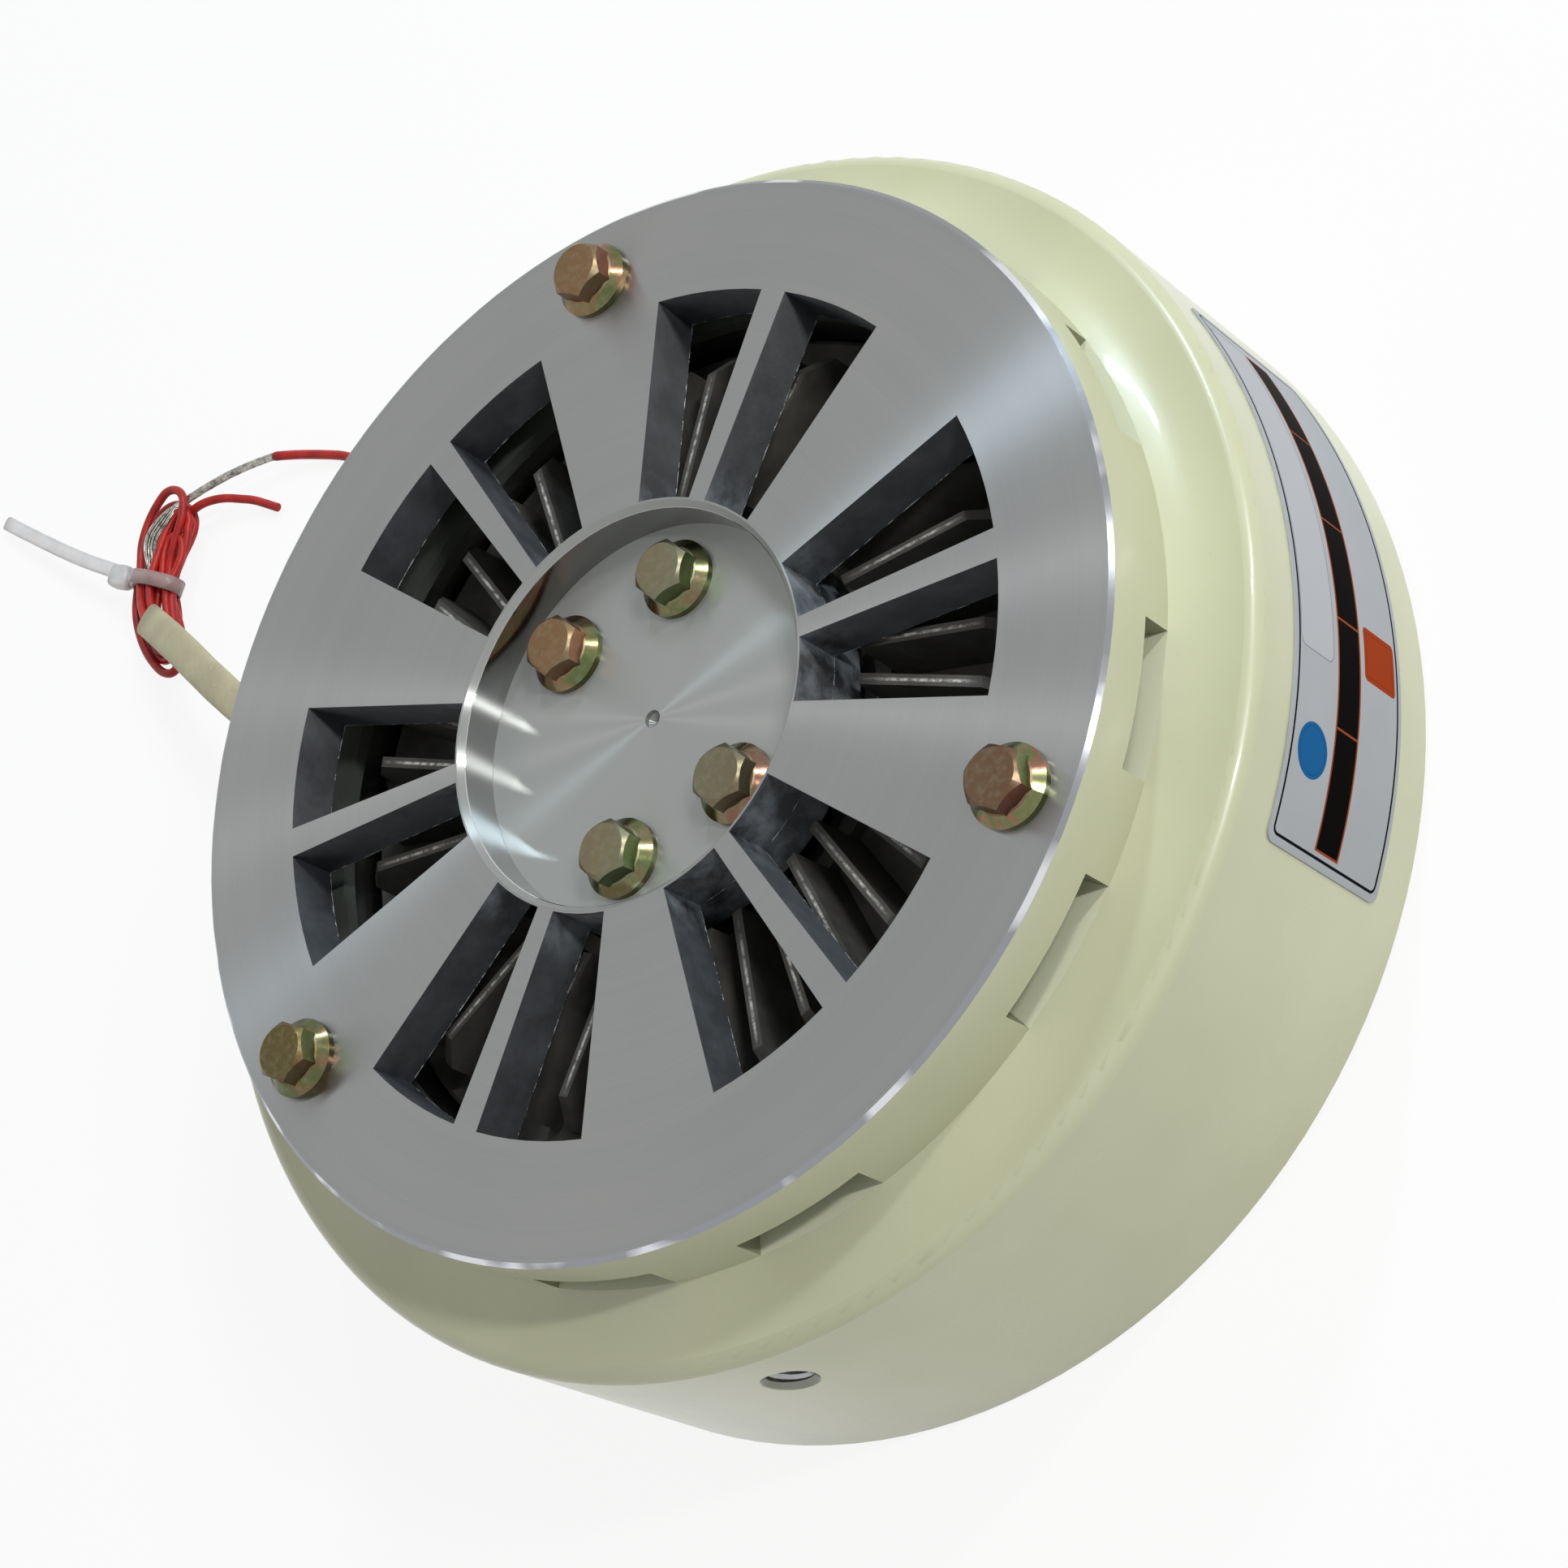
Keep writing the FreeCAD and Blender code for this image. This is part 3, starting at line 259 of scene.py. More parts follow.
def cream_enamel():
    """Stoving enamel on the steel housing: glossy cream with a faint orange peel and a little dust in it.
    The inner face behind the windows is painted dark grey-green, as painted shade. The ledge under the
    bracket's rim is painted paler, as painted light falling into the notches. The bore, the side hole and the
    lead's hole are cut after spraying."""
    finish = new_finish("cream_enamel")
    place, distance, _, height = around_axis(finish)
    cloud = patches(finish, place, 34.0, 3.0, 0.3, 0.7)
    colour = add(finish, "Mix", {0: cloud, 6: "#bfc19e", 7: "#c9cbaa"}, 2, data_type="RGBA")
    dust = patches(finish, place, 0.9, 2.0, 0.70, 0.78, (0.0, 0.25))
    # Painted shade: the housing's face inside 72 mm is painted dark grey-green, fading out by 74.5 mm, as the
    # shade behind the windows
    painted_inner_shade = add(finish, "MapRange", {"Value": distance, "From Min": 72.0 * mm, "From Max": 74.5 * mm,
                                         "To Min": 1.0, "To Max": 0.0})
    # Painted light: the ledge under the rim is painted paler, as light falling into the notches
    ledge = ring_zone(finish, distance, height, 74.4, 79.08, 46.0, 56.0)
    bore = ring_zone(finish, distance, height, 0.0, bore_radius + 0.3, -1.0, 46.5)
    drilled = ring_zone(finish, distance, height, bore_radius + 0.4, body_radius / mm - 0.15, 18.0, 42.0)
    for zone, shade in ((dust, "#b0b092"), (painted_inner_shade, "#585d58"), (ledge, "#e9ecce"), (bore, "#8c8d8c"),
                        (drilled, "#77786f")):
        colour = add(finish, "Mix", {0: zone, 6: colour, 7: shade}, 2, data_type="RGBA")
    metal = add(finish, "Math", {0: bore, 1: drilled}, operation="MAXIMUM")
    peel = add(finish, "TexNoise", {"Vector": place, "Scale": per(1.9), "Detail": 1.5})
    rough = add(finish, "MapRange", {"Value": cloud, "To Min": 0.32, "To Max": 0.25})
    return surfaced(finish, peel, 0.10, 0.05, {"Base Color": colour, "Metallic": metal, "Roughness": rough,
                                               "Coat Weight": 0.28, "Coat Roughness": 0.05})


def film_tints(finish, side, swirl, spread, drift, stops):
    """Film colours from one side of the brake to the other, moved to and fro by a noise."""
    shift = add(finish, "MapRange", {"Value": swirl, "From Min": 0.5 - spread, "From Max": 0.5 + spread,
                                     "To Min": -drift, "To Max": drift})
    shift = add(finish, "Math", {0: side, 1: shift}, operation="ADD")
    return add(finish, "ValToRGB", {"Fac": shift}, stops=stops)


def yellow_zinc():
    """Steel bolts, zinc plated and yellow passivated. The thin film shifts from olive to brown from bolt to
    bolt, with green and rose tints on the heads' sides and on the flanges, which stay the smoothest."""
    finish = new_finish("yellow_passivated_zinc")
    place, distance, _, height = around_axis(finish)
    side = add(finish, "SeparateXYZ", {"Vector": place}, "X")
    side = add(finish, "MapRange", {"Value": side, "From Min": -60.0 * mm, "From Max": 70.0 * mm})
    facing = add(finish, "TexCoord", output="Normal")
    swirl = add(finish, "TexNoise", {"Vector": facing, "Scale": 1.3, "Detail": 1.0})
    heads = film_tints(finish, side, swirl, 0.2, 0.06, [
        (0.08, "#594f30"), (0.30, "#775d42"), (0.46, "#6f6f59"), (0.60, "#6a624e"), (0.98, "#654e3b")])
    upright = add(finish, "SeparateXYZ", {"Vector": facing}, "Z")
    upright = add(finish, "MapRange", {"Value": upright, "From Min": 0.75, "From Max": 0.55})
    swirl = add(finish, "TexNoise", {"Vector": facing, "Scale": 2.2, "Detail": 2.0})
    sides = film_tints(finish, side, swirl, 0.15, 0.1, [
        (0.08, "#59603c"), (0.24, "#94564a"), (0.34, "#86684c"), (0.44, "#5c6b40"), (0.56, "#838062"),
        (0.70, "#86523f"), (0.88, "#6d5a38"), (0.94, "#66703f"), (1.0, "#8c5a4a")])
    heads = add(finish, "Mix", {0: upright, 6: heads, 7: sides}, 2, data_type="RGBA")
    inner_flange = ring_zone(finish, distance, height, 0.0, 40.0, 54.9, 57.3)
    outer_flange = ring_zone(finish, distance, height, 40.0, 90.0, 61.8, 64.1)
    flange = add(finish, "Math", {0: inner_flange, 1: outer_flange}, operation="MAXIMUM")
    swirl = add(finish, "TexNoise", {"Vector": place, "Scale": per(5.0), "Detail": 2.0, "Distortion": 1.0})
    flanges = film_tints(finish, side, swirl, 0.15, 0.1, [
        (0.06, "#525b39"), (0.24, "#7d5a48"), (0.34, "#746346"), (0.44, "#54613b"), (0.54, "#6c684b"),
        (0.68, "#755044"), (0.86, "#7c6c56"), (0.91, "#5f6a40"), (0.96, "#8a5d50"), (1.0, "#6a6f48")])
    colour = add(finish, "Mix", {0: flange, 6: heads, 7: flanges}, 2, data_type="RGBA")
    stain = patches(finish, place, 1.2, 4.0, 0.45, 0.80, (0.0, 0.35), 0.65)
    colour = add(finish, "Mix", {0: stain, 6: colour, 7: "#8b8a7a"}, 2, data_type="RGBA")
    pits = add(finish, "TexNoise", {"Vector": place, "Scale": per(0.6), "Detail": 3.0})
    rough = add(finish, "MapRange", {"Value": flange, "To Min": 0.34, "To Max": 0.18})
    return surfaced(finish, pits, 0.2, 0.05, {"Base Color": colour, "Metallic": 1.0, "Roughness": rough})


def fan_casting():
    """Die-cast aluminium fan, dulled by soot and iron dust. The blades' tips are worn bright in patches, and
    a painted highlight runs as a soft bright line along the middle of each tip, where a rounded tip would
    catch the light."""
    finish = new_finish("die_cast_fan")
    place, distance, angle, height = around_axis(finish)
    cloud = patches(finish, place, 9.0, 4.0, 0.35, 0.7, breakup=0.6)
    body = add(finish, "Mix", {0: cloud, 6: "#403f3b", 7: "#615f5a"}, 2, data_type="RGBA")

    # Where a point lies across its blade: the blades lean off the radius and repeat round the axis
    step = math.radians(360 / blade_count)
    lean = add(finish, "Math", {0: blade_pitch_radius * mm, 1: distance}, operation="DIVIDE")
    lean = add(finish, "Math", {0: 1.0, 1: lean}, operation="SUBTRACT")
    lean = add(finish, "Math", {0: lean, 1: math.tan(math.radians(blade_lean))}, operation="MULTIPLY")
    turn = add(finish, "Math", {0: angle, 1: lean}, operation="SUBTRACT")
    turn = add(finish, "Math", {0: turn, 1: math.radians(blade_first) - step / 2}, operation="SUBTRACT")
    turn = add(finish, "Math", {0: turn, 1: step}, operation="FLOORED_MODULO")
    turn = add(finish, "Math", {0: turn, 1: step / 2}, operation="SUBTRACT")
    across = add(finish, "Math", {0: turn, 1: distance}, operation="MULTIPLY")
    across = add(finish, "Math", {0: across}, operation="ABSOLUTE")
    # Painted highlight: a soft band along the middle of each blade, where a rounded tip would catch the light
    tip_highlight = add(finish, "MapRange", {"Value": across, "From Min": 0.04 * mm, "From Max": 0.36 * mm,
                                     "To Min": 1.0, "To Max": 0.0}, interpolation_type="SMOOTHSTEP")
    tip = add(finish, "Math", {0: height, 1: fan_top - 0.05 * mm}, operation="GREATER_THAN")
    near_end = add(finish, "MapRange", {"Value": distance, "From Min": 34.0 * mm, "From Max": 41.0 * mm})
    far_end = add(finish, "MapRange", {"Value": distance, "From Min": 53.6 * mm, "From Max": 50.0 * mm})
    wear = patches(finish, place, 1.6, 4.0, 0.40, 0.58, (0.1, 1.0), 0.75)
    # The wear patches, kept only on the middles of the tips, make the bright line: part worn metal, part
    # painted highlight
    for share in (near_end, far_end, tip_highlight, tip):
        wear = add(finish, "Math", {0: wear, 1: share}, operation="MULTIPLY")
    colour = add(finish, "Mix", {0: wear, 6: body, 7: "#dddcd6"}, 2, data_type="RGBA")
    metal = add(finish, "MapRange", {"Value": wear, "To Min": 0.25, "To Max": 0.4})
    rough = add(finish, "MapRange", {"Value": wear, "To Min": 0.55, "To Max": 0.40})
    sand = add(finish, "TexNoise", {"Vector": place, "Scale": per(0.8), "Detail": 3.0})
    return surfaced(finish, sand, 0.3, 0.05, {"Base Color": colour, "Metallic": metal, "Roughness": rough})


def turned_steel(name, dark, light, roughness, spacing=0.7):
    """Lathe-turned metal with rings about the brake's axis."""
    finish = new_finish(name)
    place, distance, _, height = around_axis(finish)
    rings = lathe_marks(finish, distance, height, spacing)
    cloud = add(finish, "TexNoise", {"Vector": place, "Scale": per(16.0), "Detail": 3.0})
    share = add(finish, "Math", {0: rings, 1: cloud}, operation="ADD")
    share = add(finish, "MapRange", {"Value": share, "From Min": 0.7, "From Max": 1.3})
    colour = add(finish, "Mix", {0: share, 6: dark, 7: light}, 2, data_type="RGBA")
    rough = add(finish, "MapRange", {"Value": rings, "From Min": 0.3, "From Max": 0.7,
                                     "To Min": roughness + 0.06, "To Max": roughness - 0.06})
    return surfaced(finish, rings, 0.12, 0.03, {"Base Color": colour, "Metallic": 1.0, "Roughness": rough})


def skin(name, dark, light, roughness, size, strength, **more):
    """A moulded, dipped or pressed skin with slight mottling of this size in millimetres."""
    finish = new_finish(name)
    place = add(finish, "TexCoord", output="Object")
    mottle = patches(finish, place, size, 3.0, 0.35, 0.65)
    colour = add(finish, "Mix", {0: mottle, 6: dark, 7: light}, 2, data_type="RGBA")
    rough = add(finish, "MapRange", {"Value": mottle, "To Min": roughness + 0.05, "To Max": roughness - 0.05})
    fine = add(finish, "TexNoise", {"Vector": place, "Scale": per(size / 3), "Detail": 3.0})
    return surfaced(finish, fine, strength, 0.04, {"Base Color": colour, "Roughness": rough, **more})


def rounded_box(finish, u, v, middle, half, corner):
    """How far outside a rounded box a point of the label lies, in millimetres."""
    beyond = []
    for axis, centre, size in zip((u, v), middle, half):
        offset = add(finish, "Math", {0: axis, 1: centre}, operation="SUBTRACT")
        offset = add(finish, "Math", {0: offset}, operation="ABSOLUTE")
        beyond.append(add(finish, "Math", {0: offset, 1: size - corner}, operation="SUBTRACT"))
    corner_way = add(finish, "CombineXYZ", {"X": beyond[0], "Y": beyond[1]})
    corner_way = add(finish, "VectorMath", {0: corner_way, 1: (0.0, 0.0, 0.0)}, operation="MAXIMUM")
    outside = add(finish, "VectorMath", {0: corner_way}, "Value", operation="LENGTH")
    inside = add(finish, "Math", {0: beyond[0], 1: beyond[1]}, operation="MAXIMUM")
    inside = add(finish, "Math", {0: inside, 1: 0.0}, operation="MINIMUM")
    reach = add(finish, "Math", {0: outside, 1: inside}, operation="ADD")
    return add(finish, "Math", {0: reach, 1: corner}, operation="SUBTRACT")


def printed(finish, under, shape, colour, line=0.0):
    """Ink inside a shape of the print, or along its outline when given a line width, over what is there."""
    if line:
        shape = add(finish, "Math", {0: shape}, operation="ABSOLUTE")
    ink = add(finish, "Math", {0: shape, 1: line / 2}, operation="LESS_THAN")
    return add(finish, "Mix", {0: ink, 6: under, 7: colour}, 2, data_type="RGBA")


def printed_film():
    """Silver polyester film, screen printed and satin: a rounded black keyline, a paler panel, a black band
    with an orange outline and dividers, a blue disc and an orange tag."""
    finish = new_finish("printed_polyester_film")
    place, _, angle, height = around_axis(finish)
    u = add(finish, "Math", {0: angle, 1: math.radians(label_heading)}, operation="SUBTRACT")
    u = add(finish, "Math", {0: u, 1: body_radius / mm}, operation="MULTIPLY")
    v = add(finish, "Math", {0: height, 1: (label_low + label_high) / 2}, operation="SUBTRACT")
    v = add(finish, "Math", {0: v, 1: 1 / mm}, operation="MULTIPLY")
    cloud = add(finish, "TexNoise", {"Vector": place, "Scale": per(16.0), "Detail": 2.0})
    film = add(finish, "Mix", {0: cloud, 6: "#a3a5a8", 7: "#b2b4b8"}, 2, data_type="RGBA")

    # Each form: middle, half size, corner, all in millimetres, then its inks: colour, line width, inset
    prints = [((0.0, 0.0), (40.4, 13.3), 1.0, [("#131416", 0.42, 0.0)]),
              ((11.6, 8.6), (26.2, 4.3), 1.4, [("#b3b4b8", 0.0, 0.0), ("#7f828a", 0.16, 0.0)]),
              ((-0.8, 0.0), (38.6, 2.9), 0.05, [("#0b0807", 0.0, 0.0), ("#8f4726", 0.34, 0.0)])]
    prints += [((x, 0.0), (0.16, 2.9), 0.05, [("#94492a", 0.0, 0.0)]) for x in (23.0, 8.0, -7.2, -22.8)]
    prints += [((-27.8, 8.1), (3.75, 3.75), 3.75, [("#1e5f95", 0.0, 0.0), ("#1d5787", 0.26, 0.6)]),
               ((-9.6, -8.4), (3.9, 4.2), 0.8, [("#9c3d1b", 0.0, 0.0), ("#8a3415", 0.22, 0.7)])]
    for middle, half, corner, inks in prints:
        shape = rounded_box(finish, u, v, middle, half, corner)
        for colour, line, inset in inks:
            form = add(finish, "Math", {0: shape, 1: inset}, operation="ADD")
            film = printed(finish, film, form, colour, line)
    wave = add(finish, "TexNoise", {"Vector": place, "Scale": per(9.0), "Detail": 1.0})
    return surfaced(finish, wave, 0.05, 0.1, {"Base Color": film, "Roughness": 0.42,
                                              "Specular IOR Level": 0.005})


def woven_sleeve():
    """Silicone-coated glass sleeving: cream, satin, the weave just showing through."""
    finish = new_finish("coated_glass_sleeving")
    place = add(finish, "TexCoord", output="Object")
    # The real threads are about 0.3 mm apart, drawn at 0.6 mm so that they show
    weave = add(finish, "TexWave", {"Vector": place, "Scale": per(3.8), "Distortion": 1.2, "Detail": 2.0},
                bands_direction="DIAGONAL")
    cloud = patches(finish, place, 6.0, 3.0, 0.3, 0.7)
    colour = add(finish, "Mix", {0: cloud, 6: "#a9a181", 7: "#bbb28f"}, 2, data_type="RGBA")
    fleck = patches(finish, place, 0.8, 3.0, 0.66, 0.74, (0.0, 0.5))
    colour = add(finish, "Mix", {0: fleck, 6: colour, 7: "#dcdccb"}, 2, data_type="RGBA")
    return surfaced(finish, weave, 0.22, 0.08, {"Base Color": colour, "Roughness": 0.52,
                                                "Subsurface Weight": 0.05})


def tinned_copper():
    """Tinned copper strands: dull bright grey with dark dross between them."""
    finish = new_finish("tinned_copper_strands")
    place = add(finish, "TexCoord", output="Object")
    dross = patches(finish, place, 1.2, 4.0, 0.35, 0.65, breakup=0.7)
    colour = add(finish, "Mix", {0: dross, 6: "#63625a", 7: "#c9c8c1"}, 2, data_type="RGBA")
    rough = add(finish, "MapRange", {"Value": dross, "To Min": 0.42, "To Max": 0.24})
    fine = add(finish, "TexNoise", {"Vector": place, "Scale": per(0.6), "Detail": 3.0})
    return surfaced(finish, fine, 0.3, 0.05, {"Base Color": colour, "Metallic": 1.0, "Roughness": rough})


finishes = {
    "bracket": bracket_casting(),
    "zinc": yellow_zinc(),
    "enamel": cream_enamel(),
    "fan": fan_casting(),
    "steel": turned_steel("turned_steel", "#7b7c7d", "#a9aaab", 0.32),
    "stainless": turned_steel("turned_stainless", "#96989a", "#bcbdbe", 0.25),
    "bearing": turned_steel("ground_bearing_steel", "#9fa1a4", "#c4c6c8", 0.14, 0.4),
    "cage": turned_steel("pressed_steel_cage", "#8d8a80", "#b0aca0", 0.34),
    "iron": turned_steel("turned_grey_iron", "#6c6d6d", "#8f9090", 0.42, 0.9),
    "bobbin": skin("moulded_nylon_bobbin", "#bdb7a5", "#cbc6b6", 0.5, 6.0, 0.1),
    "copper": turned_steel("enamelled_copper_winding", "#8a4a26", "#c07a4a", 0.3, 0.9),
    "tape": skin("varnished_tape", "#c7b77a", "#d8ca90", 0.45, 5.0, 0.2),
    "black": skin("black_oxide_steel", "#141517", "#26282a", 0.38, 1.6, 0.15, Metallic=0.8),
    "powder": skin("iron_powder", "#2b2b2d", "#4b4b4e", 0.7, 0.8, 0.5, Metallic=0.6),
    "rubber": skin("nitrile_rubber", "#141414", "#202020", 0.6, 2.0, 0.15),
    "label": printed_film(),
    "sleeve": woven_sleeve(),
    "red": skin("red_pvc_insulation", "#8b120c", "#b31f17", 0.42, 4.0, 0.10, **{"Specular IOR Level": 0.35}),
    "tinned": tinned_copper(),
    "nylon": skin("natural_nylon", "#ece7e5", "#f6f3f2", 0.34, 3.0, 0.08,
                  **{"Transmission Weight": 0.5, "Subsurface Weight": 0.2, "IOR": 1.53}),
    # The strap's pink is painted light: the red of the wires under it, glowing through the nylon
    "strap": skin("natural_nylon_over_red_wires", "#b18a86", "#c3a09b", 0.36, 3.0, 0.08,
                  **{"Transmission Weight": 0.3, "Subsurface Weight": 0.2, "IOR": 1.53}),
}

node_finishes = {
    "bracket": ["front_bracket"],
    "zinc": ["bracket_bolts", "stator_bolts"],
    "enamel": ["field_housing"],
    "fan": ["front_fan"],
    "steel": ["rear_pole_ring", "inner_stator", "drum_rear_cup", "drum_front_ring", "hub"],
    "stainless": ["drum_barrier_ring"],
    "bearing": ["rear_outer_race", "rear_inner_race", "rear_balls", "front_outer_race",
                "front_inner_race", "front_balls"],
    "cage": ["rear_cage", "front_cage"],
    "iron": ["rear_cover"],
    "bobbin": ["coil_bobbin"],
    "copper": ["coil_winding"],
    "tape": ["coil_wrap"],
    "black": ["cover_screws", "fan_screws", "hub_screws", "rear_circlip", "front_circlip"],
    "powder": ["powder_charge"],
    "rubber": ["front_seal", "rear_seal", "lead_grommet"],
    "label": ["rating_label"],
    "sleeve": ["lead_sleeve"],
    "red": ["lead_wires", "wire_hank", "red_end"],
    "tinned": ["tinned_end"],
    "nylon": ["cable_tie"],
}


def dress(piece, finish):
    piece.data.materials.clear()
    piece.data.materials.append(finish)


# The lead in millimetres: sleeve, two wires folded in a hank, bared strands and the tie

sleeve_line = [(-81.2, 11.4, 26.0), (-98.0, 13.8, 26.0), (-116.0, 20.0, 24.4), (-133.0, 29.7, 20.6),
               (-149.6, 39.4, 15.2), (-166.3, 48.2, 9.2)]

first_wire_line = [
    (-167.4, 48.1, 8.6), (-169.9, 50.7, 8.0), (-171.8, 53.2, 7.2), (-173.4, 55.9, 6.5), (-174.8, 58.7, 6.0),
    (-175.9, 61.8, 5.7), (-176.9, 65.0, 5.5), (-176.8, 68.1, 5.5), (-175.9, 71.1, 5.6), (-174.3, 73.6, 5.8),
    (-172.5, 75.1, 6.2), (-170.4, 75.4, 6.3), (-168.3, 74.6, 6.3), (-166.9, 72.7, 6.3), (-166.6, 69.9, 6.1),
    (-167.4, 66.9, 5.8), (-168.2, 63.9, 5.3), (-168.9, 60.8, 4.7), (-168.9, 57.8, 4.3), (-167.9, 54.8, 3.8),
    (-166.2, 52.0, 3.4), (-164.4, 49.0, 3.1), (-163.2, 46.2, 2.9), (-162.6, 43.5, 2.9), (-162.8, 41.5, 2.9),
    (-163.7, 40.2, 2.8), (-165.2, 39.9, 2.8), (-167.2, 40.5, 2.8), (-169.5, 42.1, 2.8), (-172.0, 44.4, 3.0),
    (-174.5, 47.4, 3.0), (-176.4, 50.6, 3.1), (-177.5, 53.6, 3.2), (-178.0, 56.5, 3.2), (-178.3, 59.4, 3.2),
    (-178.5, 62.6, 3.2), (-178.6, 65.9, 3.0), (-178.1, 69.1, 2.9), (-177.1, 71.8, 2.9), (-175.4, 73.6, 2.8),
    (-172.7, 74.1, 2.9), (-169.6, 73.2, 2.9), (-167.2, 71.3, 2.9), (-166.2, 68.7, 3.0), (-166.6, 66.0, 3.1),
    (-167.7, 63.2, 3.2), (-168.7, 60.5, 3.1), (-168.9, 58.0, 2.9), (-168.4, 55.5, 2.4), (-167.5, 52.8, 1.8),
    (-166.9, 50.2, 1.5), (-166.4, 47.8, 1.5), (-167.0, 46.0, 1.5), (-168.7, 45.3, 1.4), (-170.5, 46.0, 1.4),
    (-171.8, 48.0, 1.5), (-173.3, 50.5, 1.7), (-174.3, 53.4, 2.0), (-174.6, 56.3, 2.4), (-174.2, 59.2, 2.8),
    (-174.0, 62.2, 3.2), (-173.5, 65.5, 3.6), (-169.6, 69.2, 3.9), (-166.8, 71.5, 4.1), (-164.4, 72.7, 4.1),
    (-162.0, 73.4, 3.6), (-159.4, 73.7, 3.0), (-156.6, 73.5, 2.2), (-153.5, 73.2, 1.6), (-150.0, 72.1, 1.2),
    (-147.3, 71.2, 1.0)]

second_wire_line = [
    (-165.7, 46.2, 8.8), (-167.0, 49.4, 7.6), (-169.0, 52.3, 7.1), (-170.5, 55.1, 6.8), (-171.3, 58.2, 6.4),
    (-171.2, 62.3, 6.1), (-170.8, 66.7, 5.8), (-170.4, 68.8, 5.5), (-169.7, 70.5, 5.3), (-168.2, 71.3, 5.3),
    (-166.6, 70.8, 5.2), (-165.9, 69.2, 4.8), (-166.1, 68.1, 4.8), (-165.7, 65.7, 4.6), (-166.2, 62.4, 4.4),
    (-167.3, 59.2, 4.3), (-167.3, 56.7, 4.4), (-166.6, 54.4, 4.6), (-165.7, 52.0, 4.6), (-164.8, 49.4, 4.5),
    (-164.2, 47.0, 4.0), (-164.4, 44.9, 3.4), (-165.3, 43.4, 2.8), (-166.8, 42.8, 2.3), (-168.9, 43.2, 2.0),
    (-171.2, 44.5, 1.8), (-173.5, 46.4, 1.7), (-175.7, 49.0, 1.7), (-177.2, 51.7, 1.8), (-178.2, 54.5, 1.8),
    (-178.6, 57.3, 1.8), (-178.9, 60.3, 1.8), (-178.9, 64.0, 1.7), (-178.7, 68.3, 1.6), (-178.3, 72.0, 1.5),
    (-177.2, 74.0, 1.5), (-175.3, 74.5, 1.5), (-173.3, 73.7, 1.5), (-172.1, 71.9, 1.6), (-171.4, 68.8, 1.7),
    (-171.4, 65.1, 1.8), (-172.4, 61.3, 1.8), (-172.4, 58.6, 2.0), (-171.4, 56.2, 2.3), (-170.2, 54.4, 2.4),
    (-168.3, 51.9, 2.5), (-166.6, 49.4, 2.7), (-165.3, 47.0, 2.7), (-165.6, 45.0, 2.8), (-167.3, 43.9, 3.0),
    (-169.3, 44.8, 3.3), (-170.3, 47.0, 3.7), (-170.1, 50.4, 4.1), (-170.3, 53.1, 4.6), (-170.2, 55.8, 4.9),
    (-169.8, 59.1, 5.2), (-170.4, 61.8, 5.2), (-170.7, 64.5, 5.2), (-169.7, 66.4, 5.2), (-167.6, 66.4, 5.0),
    (-165.9, 64.2, 5.0), (-165.9, 61.4, 5.0), (-166.5, 59.2, 5.1), (-167.1, 57.3, 5.4), (-167.7, 55.4, 5.4),
    (-167.1, 52.5, 5.1), (-165.7, 49.8, 4.9), (-165.7, 47.4, 4.9), (-167.0, 45.9, 4.9), (-169.0, 45.9, 5.0),
    (-170.8, 47.8, 5.1), (-171.3, 51.1, 5.1), (-172.1, 53.7, 5.0), (-172.8, 56.1, 5.0), (-173.2, 58.2, 5.0),
    (-173.2, 60.0, 5.1)]

bared_line = [
    (-173.2, 60.0, 5.1), (-173.3, 61.3, 5.3), (-173.7, 63.1, 5.8), (-173.7, 64.6, 6.3), (-173.2, 66.3, 6.6),
    (-172.4, 67.7, 6.6), (-171.4, 69.0, 6.5), (-170.5, 70.6, 6.2), (-169.5, 72.0, 5.6), (-168.2, 73.2, 5.0),
    (-166.4, 74.4, 4.6), (-164.0, 75.6, 4.4), (-161.2, 76.8, 4.2), (-158.3, 78.0, 3.9), (-155.2, 79.1, 3.5),
    (-152.3, 80.0, 3.1), (-149.4, 80.8, 2.7), (-146.3, 80.8, 2.3), (-143.1, 80.7, 1.9), (-139.7, 80.4, 1.6),
    (-136.1, 80.0, 1.3), (-132.4, 79.5, 1.0), (-127.7, 77.8, 1.0), (-123.5, 76.4, 1.0)]

wire_radius = 0.80
sleeve_half = (3.1, 1.2)
sleeve_skin = 0.35
slug_place = -149.4
slug_radius = 0.86
slug_bevel = 0.10
bend_length = 13.0
waist_middle = Vector((-169.5, 57.2, 0.0))
waist_heading = math.radians(78.0)
strap_width = 2.7
strap_skin = 0.9
tie_head = (5.4, 4.4, 3.6)
tie_head_lift = 4.6
tie_tail_line = [(-176.6, 58.9, 5.0), (-184.0, 61.2, 5.0), (-194.6, 64.8, 4.4), (-209.0, 70.6, 3.0),
                 (-223.0, 76.6, 1.4)]
tie_tail_half = (1.4, 0.5)


def link(piece):
    bpy.context.scene.collection.objects.link(piece)
    return piece


def soft_line(name, points, radius):
    """A round wire along one smooth line with these control points, in millimetres."""
    curve = bpy.data.curves.new(name, "CURVE")
    curve.dimensions = "3D"
    line = curve.splines.new("NURBS")
    line.points.add(len(points) - 1)
    for spot, (x, y, z) in zip(line.points, points):
        spot.co = (x * mm, y * mm, z * mm, 1.0)
    line.order_u = 3
    line.use_endpoint_u = True
    line.resolution_u = 6
    curve.bevel_depth = radius * mm
    curve.bevel_resolution = 5
    curve.use_fill_caps = radius > 0
    return link(bpy.data.objects.new(name, curve))


def along(points):
    """Places along the smooth line through a set of control points."""
    guide = soft_line("guide", points, 0.0)
    reading = bpy.data.meshes.new_from_object(guide)
    places = [spot.co.copy() for spot in reading.vertices]
    bpy.data.meshes.remove(reading)
    bpy.data.objects.remove(guide)
    return places


def length_of(places):
    return sum((b - a).length for a, b in zip(places, places[1:]))


